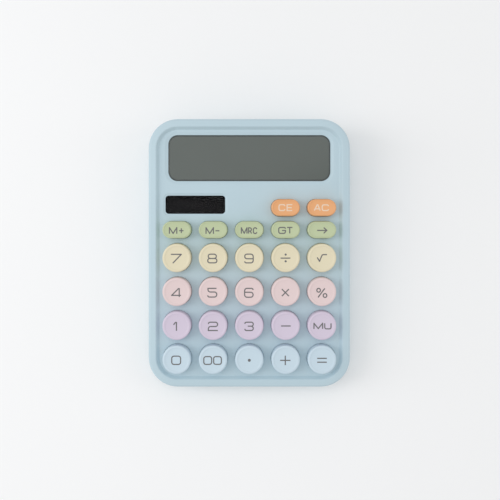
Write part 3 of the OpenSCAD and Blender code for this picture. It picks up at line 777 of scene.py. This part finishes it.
carbon_ink = plastic("carbon_ink", srgb(34, 34, 37), gloss=0.6, grain=4000.0, clouding=1.0)
ink_blocks = []
for finger in range(finger_count):
    side = 1 if finger % 2 else -1
    x = (finger - 3) * finger_pitch
    ink_blocks.append(((x - finger_half, side * finger_gap - comb_l / 2 + finger_gap, 0),
                       (x + finger_half, side * finger_gap + comb_l / 2 - finger_gap, comb_t)))
for side in (-1, 1):
    x = 3 * finger_pitch + bar_half
    y = side * comb_l / 2
    ink_blocks.append(((-x, y - bar_half, 0), (x, y + bar_half, comb_t)))
lay_out("key_combs", blocks("comb", ink_blocks),
        [(s.x, s.y, board_top) for s in key_spots.values()], carbon_ink, "case", "carbon")
keep("chip_blob", plastic("epoxy", srgb(26, 26, 29), gloss=0.22, grain=500.0, clouding=1.5,
                          depth=0.05, Coat_Weight=0.6))
keep("capacitor", plastic("capacitor_sleeve", srgb(38, 52, 92), gloss=0.3, grain=1200.0,
                          Coat_Weight=0.3))


def ringed(name, body, rings, low, high):
    """A small axial part's lacquer, with coloured rings across it from low to high along y."""
    made, tree = shader(name, Coat_Weight=0.5)
    share = ramp(tree, along(tree, "Y"), 0.0, 1.0, low, high)
    shades = add(tree, "ShaderNodeValToRGB", {"Fac": share})
    stops = shades.color_ramp.elements
    shades.color_ramp.interpolation = "CONSTANT"
    stops[0].color = body
    stops.remove(stops[1])
    for start, end, colour in rings:
        stops.new(start).color = colour
        stops.new(end).color = body
    paint(tree, shades, ramp(tree, noise(tree, 1500.0), 0.25, 0.45))
    return made


part_low, part_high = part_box("resistors")
keep("resistors", ringed("resistor_lacquer", srgb(206, 182, 138), [
    (0.30, 0.36, srgb(150, 60, 30)), (0.42, 0.48, srgb(40, 40, 40)),
    (0.54, 0.60, srgb(200, 120, 40)), (0.68, 0.72, srgb(190, 160, 70))],
    part_low.y, part_high.y))
part_low, part_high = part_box("diodes")
keep("diodes", ringed("diode_glass", srgb(196, 96, 58), [(0.62, 0.70, srgb(30, 30, 30))],
                      part_low.y, part_high.y))

# ------------ Leads
# Thin stranded leads in soft PVC, red for plus and black for minus, soldered at both ends: two
# from the battery's contacts to the board, and two from the solar cell.
lead_colours = {"red": srgb(176, 42, 36), "black": srgb(40, 40, 42)}
for source in ("battery", "solar"):
    for tone, colour in lead_colours.items():
        lead = f"{source}_wire_{tone}"
        keep(lead, plastic(lead + "_pvc", colour, gloss=0.38, grain=900.0, clouding=0.8))
        nodes[lead].data.shade_smooth()

# ------------ Board screws
# Small plated self-tapping screws with cross recesses, driven up through the board into the bosses
# under the panel.
screw_steel = metal("zinc_plate", srgb(188, 192, 198), streaks=900.0, tarnish=0.4)
board_screw_d = 1.8
any_way = 6.0


def screw(name, head_d, head_h, shank_d, shank_l, thread=0.5):
    """A screw that points up from a seat at height 0: domed head, cross recess, round threads."""
    r = shank_d / 2
    neck = 0.3
    unthreaded = 1.2
    groove = 0.16 * shank_d
    flanks = [(0, neck)]
    for ridge in range(int((shank_l - unthreaded) / thread)):
        flanks += [(0, neck + thread * (ridge + 0.4)), (-groove, neck + thread * (ridge + 0.9))]
    profile = rounded([(-r, -head_h), (head_d / 2 - r - 0.5, -head_h, 1.2),
                       (head_d / 2 - r, -head_h * 0.4, 0.4), (head_d / 2 - r, 0, 0.1), (0, 0)], 4)
    made = solid(name, circle(shank_d, steps=6),
                 profile + [Vector(f) for f in flanks] + [Vector((-r, shank_l))])
    arm = head_d * 0.3
    slit = head_d * 0.16
    for w, l in ((2 * arm, slit), (slit, 2 * arm)):
        shape(made, "DIFFERENCE", solid("arm", rectangle(w, l, 0.05, steps=2),
              [(-0.1, -0.35 * head_h), (0.05, -head_h - 0.2)]))
    return made


board_screw_boxes = spread("board_screws")
board_screw_spots = middles(board_screw_boxes)
board_seat = on_face("circuit_board")[0].z
low, high = board_screw_boxes[0]
lay_out("board_screws",
        screw("board_screw", high.x - low.x, board_seat - low.z, board_screw_d,
              high.z - board_seat),
        [(spot.x, spot.y, board_seat) for spot in board_screw_spots],
        screw_steel, "case", "screw_steel", ["board_screws"], turned=any_way)

# ------------ Rubber keypad
# A moulded silicone mat on the board with one hollow dome under each key. A pressed key folds its
# dome down, and the carbon pill inside the dome closes the comb on the board.
mat_low, mat_high = on_face("rubber_keypad")
mat_top = board_top + 1.0
dome_tip_r = 2.5
skin_t = 0.5
boss_d = 4.8
bar_row = key_spots["key_m_plus"].y
step_x = (key_spots["key_mrc"].x + key_spots["key_ce"].x) / 2
step_y = (bar_row + key_spots["key_ce"].y) / 2
silicone = plastic("silicone", srgb(190, 193, 196), gloss=0.62, grain=1800.0, clouding=0.8,
                   Subsurface_Weight=0.15, Subsurface_Radius=(0.001, 0.001, 0.001))


def mat_part(name, x, y, high_x, high_y):
    """A flat part of the mat between two corners, with a soft upper edge."""
    middle = ((high_x + x) / 2, (high_y + y) / 2)
    return solid(name, rectangle(high_x - x, high_y - y, 1, middle, 4),
                 rounded([(-1, board_top), (0, board_top), (0, mat_top, 0.2), (-1, mat_top)], 2))


def dome_reach(name):
    """A dome's radius at the mat: part of its key's size, front to back."""
    low, high = key_boxes[name]
    wide = high.x - low.x - (high.y - low.y) < 0.1
    return ((high.y - low.y) / 2 - 1.2) * (0.55 if wide else 0.72)


mat = mat_part("keypad_mat", mat_low.x, mat_low.y, mat_high.x, step_y)
shape(mat, "UNION", mat_part("mat_step", step_x, bar_row, mat_high.x, mat_high.y))
for d, spot in ([(boss_d + 0.8, spot) for spot in board_screw_spots]
                + [(2 * dome_reach(name) - 1, key_spots[name]) for name in key_names]):
    shape(mat, "DIFFERENCE", solid("mat_hole", circle(d, spot, 6),
          [(0, board_top - 1), (0, mat_top + 1)]))
place(mat, silicone, "case", "keypad_rubber", ["rubber_keypad"])
for name in key_names:
    r = dome_reach(name)
    tip = dome_tip_r - r
    under = mat_high.z - skin_t - 0.2
    dome = solid("dome_" + name, circle(2 * r, key_spots[name], 8), rounded([
        (-skin_t, mat_top), (0, mat_top, 0.1), (-0.35, mat_top + 0.4, 0.3),
        (tip, mat_high.z - 0.2, 0.3), (-r, mat_high.z)], 3) + rounded([
            (-r, under), (tip - skin_t, under, 0.2), (-skin_t - 0.3, mat_top + 0.2, 0.2),
            (-skin_t, mat_top)], 3), loop=True)
    place(dome, silicone, "case", "keypad_rubber")
    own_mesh(dome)
pill_low, pill_high = on_face("carbon_pills")
one_low, one_high = spread("carbon_pills")[0]
for name in key_names:
    pill = solid("pill_" + name, circle(one_high.x - one_low.x, key_spots[name], 6), rounded([
        (-0.5, pill_low.z), (0, pill_low.z, 0.1), (0, pill_high.z)], 2))
    place(pill, carbon_ink, name, "carbon", ["carbon_pills"])

# ------------ Display
# A reflective liquid-crystal cell: two glass plates with a polariser in front and a reflector
# behind, in a white frame on the board, fed through two strips of striped conductive rubber.
lcd_film, tree = shader("polariser_film", Specular_IOR_Level=0.4)
film_grain = noise(tree, 2500.0)
paint(tree, blend(tree, film_grain, srgb(140, 146, 138), srgb(150, 155, 147)),
      ramp(tree, film_grain, 0.4, 0.6))
keep("lcd_polarizer", lcd_film)
keep("lcd_reflector", lcd_film)
keep("lcd_frame", plastic("white_abs", srgb(226, 227, 222), gloss=0.5, clouding=0.4))


def clear_plate(name, colour, see_through, gloss, bend=1.49):
    """A clear or tinted plate with a trace of haze and faint streaks in its tint."""
    made, tree = shader(name, Transmission_Weight=see_through, IOR=bend)
    haze = noise(tree, 35.0, 3.0)
    deep = add(tree, "ShaderNodeHueSaturation", {"Color": colour, "Value": 0.94})
    paint(tree, blend(tree, haze, colour, deep), ramp(tree, haze, gloss, gloss + 0.06))
    return made


keep("lcd_glass", clear_plate("lcd_glass", srgb(214, 226, 216), 0.9, 0.03))
zebra, tree = shader("zebra_rubber", Specular_IOR_Level=0.3)
stripes = add(tree, "ShaderNodeTexWave", {"Vector": own_place(tree), "Scale": 900.0}).outputs["Fac"]
paint(tree, blend(tree, stripes, srgb(214, 150, 160), srgb(50, 44, 48)),
      ramp(tree, stripes, 0.55, 0.75))
keep("zebra_strips", zebra)

# ------------ Solar cell
# An amorphous silicon cell on glass, nearly black, divided by fine scribed lines into four strips.
# It lies under its own window, inside a rib of the upper shell.
cell_low, cell_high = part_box("solar_cell")
strips = 4
scribed_from = 0.975
cell, tree = shader("solar_cell", Specular_IOR_Level=0.05)
strip = ramp(tree, along(tree, "X"), 0.0, float(strips), cell_low.x, cell_high.x)
scribed = work_out(tree, "GREATER_THAN", work_out(tree, "FRACT", strip), scribed_from)
bloom = noise(tree, 130.0, 3.0)
silicon = blend(tree, bloom, srgb(17, 17, 19), srgb(25, 22, 24))
paint(tree, blend(tree, scribed, silicon, srgb(40, 38, 40)), ramp(tree, bloom, 0.2, 0.35))
keep("solar_cell", cell)

# ------------ Upper shell
# One moulding in the case's blue: a rim with soft edges round a sunken panel, a hole for every
# key, stepped places for the two windows, and bosses and ribs below for what it carries.
window_low, window_high = on_face("display_window")
solar_low, solar_high = on_face("solar_window")
window_r = 5.2
solar_r = 1.8
pane_gap = 0.1
ledge_w = 3.0
surround_w = 1.9
solar_surround_w = 1.3
panel = -2.0
panel_under = solar_low.z
rim_w = 4.2
rim_fall = 0.8
border = 5.9
key_gap = 0.3
flange_lip = 0.6
key_draft = 0.1
flange_reach = key_draft + key_gap + flange_lip
key_steps = 22
hole_edge = 0.1
rib_fit = 0.2
case_boss_d = 5.6
case_pilot_d = 2.1
board_pilot_d = 1.7
upper = solid("upper_shell", walls, rounded([
    (-1.5, split), (0, split, 0.25), (0, -rim_fall, 1.8), (-rim_w, 0, 0.9),
    (-border, panel, 0.8), (-border - 2, panel)], 7))
shape(upper, "DIFFERENCE", solid("hollow", inner_walls, rounded([
    (0, split - 1), (0, panel_under, 0.8), (-2, panel_under)])))


def rib(name, low, high, depth):
    """A square rib under the panel round a part that stands between two corners."""
    return solid(name, rectangle(high.x - low.x + 2 * rib_fit, high.y - low.y + 2 * rib_fit, 0.02,
                                 (low + high) / 2, 1),
                 rounded([(0, panel_under + 0.3), (0, panel_under - depth, 0.25),
                          (1, panel_under - depth, 0.25), (1, panel_under + 0.3)], 2), loop=True)


def boss(name, d, spot, end):
    """A round boss under the panel, down to its end."""
    return solid(name, circle(d, spot, 8),
                 rounded([(0, panel_under + 0.3), (0, end, 0.3), (-1, end)]))


def key_posts(name, reached):
    """Posts round a key, reached beyond its flange."""
    low, high = key_boxes[name]
    l = high.y - low.y + 2 * reached
    return rectangle(high.x - low.x + 2 * reached, l, l / 2, key_spots[name], key_steps)


def pane_posts(low, high, r, grown=0.0):
    """Posts round a window's place in the panel, grown by a distance."""
    reached = 2 * (pane_gap + grown)
    return rectangle(high.x - low.x + reached, high.y - low.y + reached, r + grown,
                     ((high.x + low.x) / 2, (high.y + low.y) / 2))


def soft_hole(edge):
    """A hole through the panel whose upper edge is rounded, to cut with."""
    flare = edge + 0.6
    return rounded([(0, panel_under - 1), (0, panel + 0.02, edge), (flare, panel + 0.07),
                    (flare, panel + 1)], 5)


def dip(posts, wide, floor):
    """A shallow sloping dip in the panel round a window, to cut with."""
    return solid("dip", posts, rounded([
        (-3, floor), (0.4, floor, 0.6), (wide, panel + 0.02, 0.5), (wide + 0.8, panel + 0.05),
        (wide + 0.8, panel + 1)], 4))


shape(upper, "UNION", rib("lcd_rib", *on_face("lcd_frame"), 2.1),
      rib("solar_rib", *on_face("solar_cell"), 1.1),
      *(boss("case_boss", case_boss_d, spot, post_top + 0.2) for spot in screw_spots),
      *(boss("board_boss", boss_d, spot, board_top) for spot in board_screw_spots))
window_posts = pane_posts(window_low, window_high, window_r)
solar_posts = pane_posts(solar_low, solar_high, solar_r)
shape(upper, "DIFFERENCE",
      *(solid("key_hole", key_posts(name, -flange_lip - 0.16), soft_hole(hole_edge))
        for name in key_names),
      *(solid("pilot", circle(case_pilot_d, spot, 6), [(0, split), (0, -2.8)])
        for spot in screw_spots),
      *(solid("board_pilot", circle(board_pilot_d, spot, 6), [
          (0, board_top - 1), (0, panel_under - 0.3)]) for spot in board_screw_spots),
      dip(window_posts, surround_w, window_high.z - 0.2),
      dip(solar_posts, solar_surround_w, solar_high.z - 0.1),
      solid("recess", window_posts, [(0, window_low.z), (0, window_high.z + 0.5)]),
      solid("opening", pane_posts(window_low, window_high, window_r, -ledge_w),
            [(0, panel_under - 3), (0, window_low.z + 0.5)]),
      solid("solar_hole", solar_posts, [(0, panel_under - 1), (0, panel + 1)]))
place(upper, case_plastic, "case", "case", ["top_case"])

# ------------ Windows
# A smoke-tinted acrylic plate lies in the display's recess, polished, with broken edges and a thin dark band
# of painted shade along them. A clear one covers the solar cell, which shows black through it.
def pane(name, low, high, r, edge):
    """A window's plate, with broken upper edges."""
    return solid(name, pane_posts(low, high, r, -pane_gap), rounded([
        (-1, low.z), (0, low.z), (0, high.z, edge), (-1, high.z)], 4))


# The dark band on the plate, just inside its edge, is painted shade: a thin dark sheet that stands for the shade
# along the window's edge.
line_out, line_in = -0.35, -0.7
line_low, line_top = window_high.z - 0.1, window_high.z + 0.02
place(pane("display_plate", window_low, window_high, window_r, 0.4),
      clear_plate("smoky_acrylic", srgb(104, 112, 107), 0.35, 0.12),
      "case", "smoky_window", ["display_window"])
place(solid("window_border", pane_posts(window_low, window_high, window_r, -pane_gap),
            [(line_out, line_low), (line_out, line_top), (line_in, line_top),
             (line_in, line_low)], loop=True),
      plastic("border_ink", srgb(60, 64, 66), gloss=0.5, grain=4000.0, depth=0.002), "case")
place(pane("solar_plate", solar_low, solar_high, solar_r, 0.25),
      clear_plate("clear_acrylic", srgb(235, 238, 240), 1.0, 0.04, 1.15),
      "case", "clear_window", ["solar_window"])

# ------------ Keys
# Hollow caps in six pastel colours, with a slightly dished face inside a narrow flat edge, a
# flange that holds them in under the panel, and a post in the middle that presses the dome.
key_top = max(high.z for low, high in key_boxes.values())
flange_under = -5.2
flange_top = -4.2
post_r = 1.8
key_wall = 1.2
dish_depth = 0.35
dish_share = 0.82
dish_step = 0.15
face_edge = 0.8
rounds = 9
slots = {part["node"]: part["material_slot"] for part in frame["record"]["subparts"]}
key_colours = {
    "key_sky": srgb(201, 219, 230),
    "key_lilac": srgb(213, 201, 218),
    "key_pink": srgb(229, 208, 207),
    "key_yellow": srgb(228, 218, 188),
    "key_green": srgb(191, 202, 163),
    "key_orange": srgb(235, 172, 119),
}
key_plastics = {slot: plastic(slot + "_abs", colour, gloss=0.42, grain=3600.0, clouding=0.4,
                              depth=0.006) for slot, colour in key_colours.items()}


def dish(inward, r):
    """The height of a key's sunken disc at a distance in from its edge, for an edge radius r."""
    share = min((r - inward) / (dish_share * r), 1)
    return key_top - dish_step - dish_depth * (1 - share * share)


for name in key_names:
    low, high = key_boxes[name]
    posts = key_posts(name, -flange_reach)
    r = posts[0][2]
    flat = (1 - dish_share) * r
    steps_in = [dish_share * r * step / rounds for step in range(rounds + 1)]
    face = [Vector((-r + across, dish(r - across, r))) for across in steps_in]
    skirt = rounded([
        (-flat, key_top - dish_step), (-flat + 0.2, key_top, 0.1), (0, key_top, face_edge),
        (key_draft, panel), (key_draft, flange_top), (flange_reach, flange_top, 0.2),
        (flange_reach, flange_under, 0.2), (-key_wall, flange_under, 0.3),
        (-key_wall, key_top - key_wall - 0.3, 0.6), (-r, key_top - key_wall - 0.3)], 5)[1:]
    cap = solid(name + "_cap", posts, face + skirt)
    shape(cap, "UNION", solid("post", circle(2 * post_r, key_spots[name], 6), rounded([
        (-post_r, key_top - key_wall), (0, key_top - key_wall), (0, low.z, 0.2), (-1, low.z)], 2)))
    place(cap, key_plastics[slots[name]], name, slots[name], [name])

# ------------ Legends
# Pad-printed on the keys in grey ink, and in pale ink on the orange ones: strokes of one width
# with rounded corners, drawn along lines and laid into each key's dished face.
stroke = 0.62
run_on = 0.4 * stroke
corner_share = 0.24
ink_t = 0.1
ink_proud = 0.03
dot_d = 1.15
lettering, given, result = geometry_tree(
    "lettering", {"Stroke": "Float", "Ink": "Float", "Corner": "Float"})
lines = add(lettering, "GeometryNodeMeshToCurve", {"Mesh": given["Geometry"]})
turned = add(lettering, "GeometryNodeFilletCurve", {"Curve": lines, "Count": 4,
             "Radius": given["Corner"], "Limit Radius": True}, mode="POLY")
finer = add(lettering, "GeometryNodeSubdivideCurve", {"Curve": turned, "Cuts": 3})
upright = add(lettering, "GeometryNodeSetCurveNormal", {"Curve": finer}, mode="Z_UP")
nib = add(lettering, "GeometryNodeCurvePrimitiveQuadrilateral",
          {"Width": given["Stroke"], "Height": given["Ink"]})
drawn = add(lettering, "GeometryNodeCurveToMesh",
            {"Curve": upright, "Profile Curve": nib, "Fill Caps": True})
merged = add(lettering, "GeometryNodeMeshBoolean", {"Mesh 2": drawn, "Self Intersection": True},
             operation="UNION", solver="EXACT")
finish_tree(lettering, given, result, merged)

# Strokes in a unit square: a point with a trailing 0 is a sharp corner, and a list that starts
# with "o" is closed
glyphs = {
    "0": [["o", (0, 0), (1, 0), (1, 1), (0, 1)]],
    "1": [[(0, 0.71), (0.62, 1, 0), (1, 1, 0), (1, 0)]],
    "2": [[(0, 0.78), (0, 1), (1, 1), (1, 0.48), (0, 0.48), (0, 0, 0), (1.03, 0)]],
    "3": [[(0, 0.8), (0, 1), (1, 1), (1, 0.52), (0.35, 0.52)],
          [(0.35, 0.52), (1, 0.52), (1, 0), (0, 0), (0, 0.2)]],
    "4": [[(1, 0.19), (0, 0.19, 0), (0.74, 1, 0), (0.82, 1, 0), (0.82, 0)]],
    "5": [[(0.97, 1), (0.03, 1, 0), (0.03, 0.58), (1, 0.58), (1, 0), (0, 0), (0, 0.2)]],
    "6": [[(1, 0.82), (1, 1), (0, 1), (0, 0), (1, 0), (1, 0.56), (0, 0.56)]],
    "7": [[(0, 1), (1, 1, 0), (0.18, 0)]],
    "8": [["o", (0.06, 0.5), (0.94, 0.5), (0.94, 1), (0.06, 1)],
          ["o", (0, 0), (1, 0), (1, 0.5), (0, 0.5)]],
    "9": [[(0, 0.18), (0, 0), (1, 0), (1, 1), (0, 1), (0, 0.47), (1, 0.47)]],
    "A": [[(0, 0), (0.5, 1, 0), (0.62, 1, 0), (1, 0)], [(0.2, 0.3), (0.88, 0.3)]],
    "C": [[(1, 0.75), (1, 1), (0, 1), (0, 0), (1, 0), (1, 0.25)]],
    "E": [[(1, 1), (0, 1, 0), (0, 0, 0), (1, 0)], [(0, 0.5), (0.9, 0.5)]],
    "G": [[(1, 0.78), (1, 1), (0, 1), (0, 0), (1, 0), (1, 0.48, 0), (0.5, 0.48)]],
    "M": [[(0, 0), (0, 1, 0), (0.5, 0.05, 0), (1, 1, 0), (1, 0)]],
    "R": [[(0, 0), (0, 1, 0), (0.95, 1), (0.95, 0.42), (0, 0.42)], [(0.55, 0.42), (1, 0)]],
    "T": [[(0, 1), (1, 1)], [(0.5, 1), (0.5, 0)]],
    "U": [[(0, 1), (0, 0), (1, 0), (1, 1)]],
    "plus": [[(0, 0.5), (1, 0.5)], [(0.5, 0), (0.5, 1)]],
    "low_plus": [[(0, 0.5), (1, 0.5)], [(0.5, 0.11), (0.5, 0.89)]],
    "minus": [[(0, 0.5), (1, 0.5)]],
    "multiply": [[(0, 0), (1, 1)], [(0, 1), (1, 0)]],
    "equals": [[(0, 0), (1, 0)], [(0, 1), (1, 1)]],
    "percent": [["o", (0, 0.58), (0.36, 0.58), (0.36, 1), (0, 1)],
                ["o", (0.64, 0), (1, 0), (1, 0.42), (0.64, 0.42)], [(0.12, 0), (0.8, 1)]],
    "root": [[(0, 0.57), (0.24, 0, 0), (0.52, 1), (1, 1)]],
    "arrow": [[(0, 0.5), (1, 0.5)], [(0.68, 1), (1, 0.5, 0), (0.68, 0)]],
}
# Each key's legend: its glyph, or its glyphs with the share of the width each one spans; its size
# over all; and how far it stands off the key's centre
digit = (5.6, 5.1)
legends = {
    "key_0": ("0", (5.4, 5.1), (-0.25, -0.3)),
    "key_00": ([("0", 0, 0.48), ("0", 0.525, 1)], (10.1, 4.8), (-0.2, -0.4)),
    "key_plus": ("plus", (6.2, 5.7), (-0.2, -0.35)),
    "key_equals": ("equals", (5.8, 2.7), (0, -0.3)),
    "key_1": ("1", (2.2, 5.1), (-0.9, -0.45)),
    "key_2": ("2", digit, (0, -0.3)),
    "key_3": ("3", (5.2, 5.1), (-0.15, -0.3)),
    "key_minus": ("minus", (5.8, 2), (0.1, -0.1)),
    "key_mu": ([("M", 0, 0.54), ("U", 0.593, 1)], (9.8, 3.6), (0.25, -0.15)),
    "key_4": ("4", digit, (-0.2, -0.5)),
    "key_5": ("5", (5.5, 5.3), (-0.4, -0.45)),
    "key_6": ("6", (5.2, 5.4), (-0.25, -0.5)),
    "key_multiply": ("multiply", (4.4, 4.4), (-0.15, -0.4)),
    "key_percent": ("percent", (6.0, 5.5), (-0.1, -0.55)),
    "key_7": ("7", (6.2, 5.4), (-0.3, -0.45)),
    "key_8": ("8", (5.6, 5.3), (-0.37, -0.3)),
    "key_9": ("9", (5.2, 5.35), (-0.2, -0.3)),
    "key_divide": ("minus", (5.9, 2), (-0.1, -0.1)),
    "key_sqrt": ("root", (5.9, 4.2), (0.05, 0)),
    "key_m_plus": ([("M", 0, 0.56), ("low_plus", 0.64, 1)], (8.2, 3.9), (-0.1, -0.45)),
    "key_m_minus": ([("M", 0, 0.59), ("minus", 0.65, 1)], (7.8, 3.9), (-0.15, -0.5)),
    "key_mrc": ([("M", 0, 0.41), ("R", 0.44, 0.69), ("C", 0.73, 1)], (8.9, 3.7), (-0.15, -0.45)),
    "key_gt": ([("G", 0, 0.53), ("T", 0.563, 1)], (8.0, 3.8), (-0.05, -0.3)),
    "key_arrow": ("arrow", (5.8, 3.7), (0, -0.3)),
    "key_ce": ([("C", 0, 0.485), ("E", 0.56, 1)], (7.8, 3.8), (0, 0)),
    "key_ac": ([("A", 0, 0.46), ("C", 0.52, 1)], (8.3, 3.7), (-0.35, -0.05)),
}
legend_dots = {"key_point": (1.6, [-0.3]), "key_divide": (dot_d, [-1.8, 1.8])}
dark_ink, pale_ink = (
    plastic(ink, colour, gloss=0.6, grain=5000.0, clouding=clouding, depth=0.004)
    for ink, colour, clouding in (("dark_ink", srgb(108, 107, 108), 0.8),
                                  ("pale_ink", srgb(236, 212, 188), 0.5)))


def strokes(glyph, low, size):
    """A glyph's lines, split at its sharp corners, where each end runs on by part of a stroke."""
    runs = []
    for line in glyphs[glyph]:
        closed = line[0] == "o"
        spots = [low + Vector((u * size.x, v * size.y)) for u, v, *_ in line[closed:]]
        corners = [i for i, spot in enumerate(line) if len(spot) == 3 and not closed]
        if closed:
            runs.append(spots + spots[:1])
            continue
        for start, end in zip([0] + corners, corners + [len(spots) - 1]):
            run = spots[start:end + 1]
            if start:
                run[0] = run[0] + (run[0] - run[1]).normalized() * run_on
            if end < len(spots) - 1:
                run[-1] = run[-1] + (run[-1] - run[-2]).normalized() * run_on
            runs.append(run)
    return runs


def written(name):
    """The mesh of lines that a key's legend is drawn along, about the key's centre."""
    words, (w, h), (off_x, off_y) = legends[name]
    verts, edges = [], []
    for glyph, start, end in [(words, 0, 1)] if isinstance(words, str) else words:
        middle = Vector((off_x, off_y))
        low = middle + Vector(((start - 0.5) * w, -h / 2)) + Vector((stroke, stroke)) / 2
        size = Vector(((end - start) * w - stroke, h - stroke))
        for run in strokes(glyph, low, size):
            first = len(verts)
            verts += [(*spot, ink_proud - ink_t / 2) for spot in run]
            edges += [(first + i, first + i + 1) for i in range(len(run) - 1)]
            if (run[0] - run[-1]).length < 1e-6:
                verts.pop()
                edges[-1] = (len(verts) - 1, first)
    mesh = bpy.data.meshes.new(name)
    mesh.from_pydata(verts, edges, [])
    return mesh


for name in key_names:
    spot = key_spots[name]
    low, high = key_boxes[name]
    r = (high.y - low.y) / 2 - flange_reach
    straight = (high.x - low.x) / 2 - flange_reach - r
    ink = pale_ink if slots[name] == "key_orange" else dark_ink
    pieces = []
    if name in legends:
        pieces.append(grow("legend_" + name, lettering, written(name), Matrix.Identity(4),
                           Stroke=stroke, Ink=ink_t, Corner=corner_share * legends[name][1][1],
                           Material=ink))
    d, heights = legend_dots.get(name, (0, []))
    pieces += [solid("dot", circle(d, (0, y), 6), [(0, ink_proud - ink_t), (0, ink_proud)],
                     at=Matrix.Identity(4)) for y in heights]
    legend = pieces[0]
    if pieces[1:]:
        shape(legend, "UNION", *pieces[1:])
    for vert in legend.data.vertices:
        across = max(abs(vert.co.x) - straight, 0)
        vert.co.z += dish(r - math.hypot(across, vert.co.y), r)
        vert.co.x += spot.x
        vert.co.y += spot.y
    legend.matrix_world = FACE
    legend.name = "legend_" + name
    place(legend, ink, name)

# ------------ Case screws
# Four plated self-tapping screws with cross recesses, driven up through the wells in the floor
# into the bosses of the upper shell.
case_screw_d = 2.2
case_thread = 0.7
low, high = screw_boxes[0]
lay_out("case_screws",
        screw("case_screw", high.x - low.x, head_seat - low.z, case_screw_d,
              high.z - head_seat, case_thread),
        [(spot.x, spot.y, head_seat) for spot in screw_spots],
        screw_steel, "case", "screw_steel", ["case_screws"], turned=any_way)
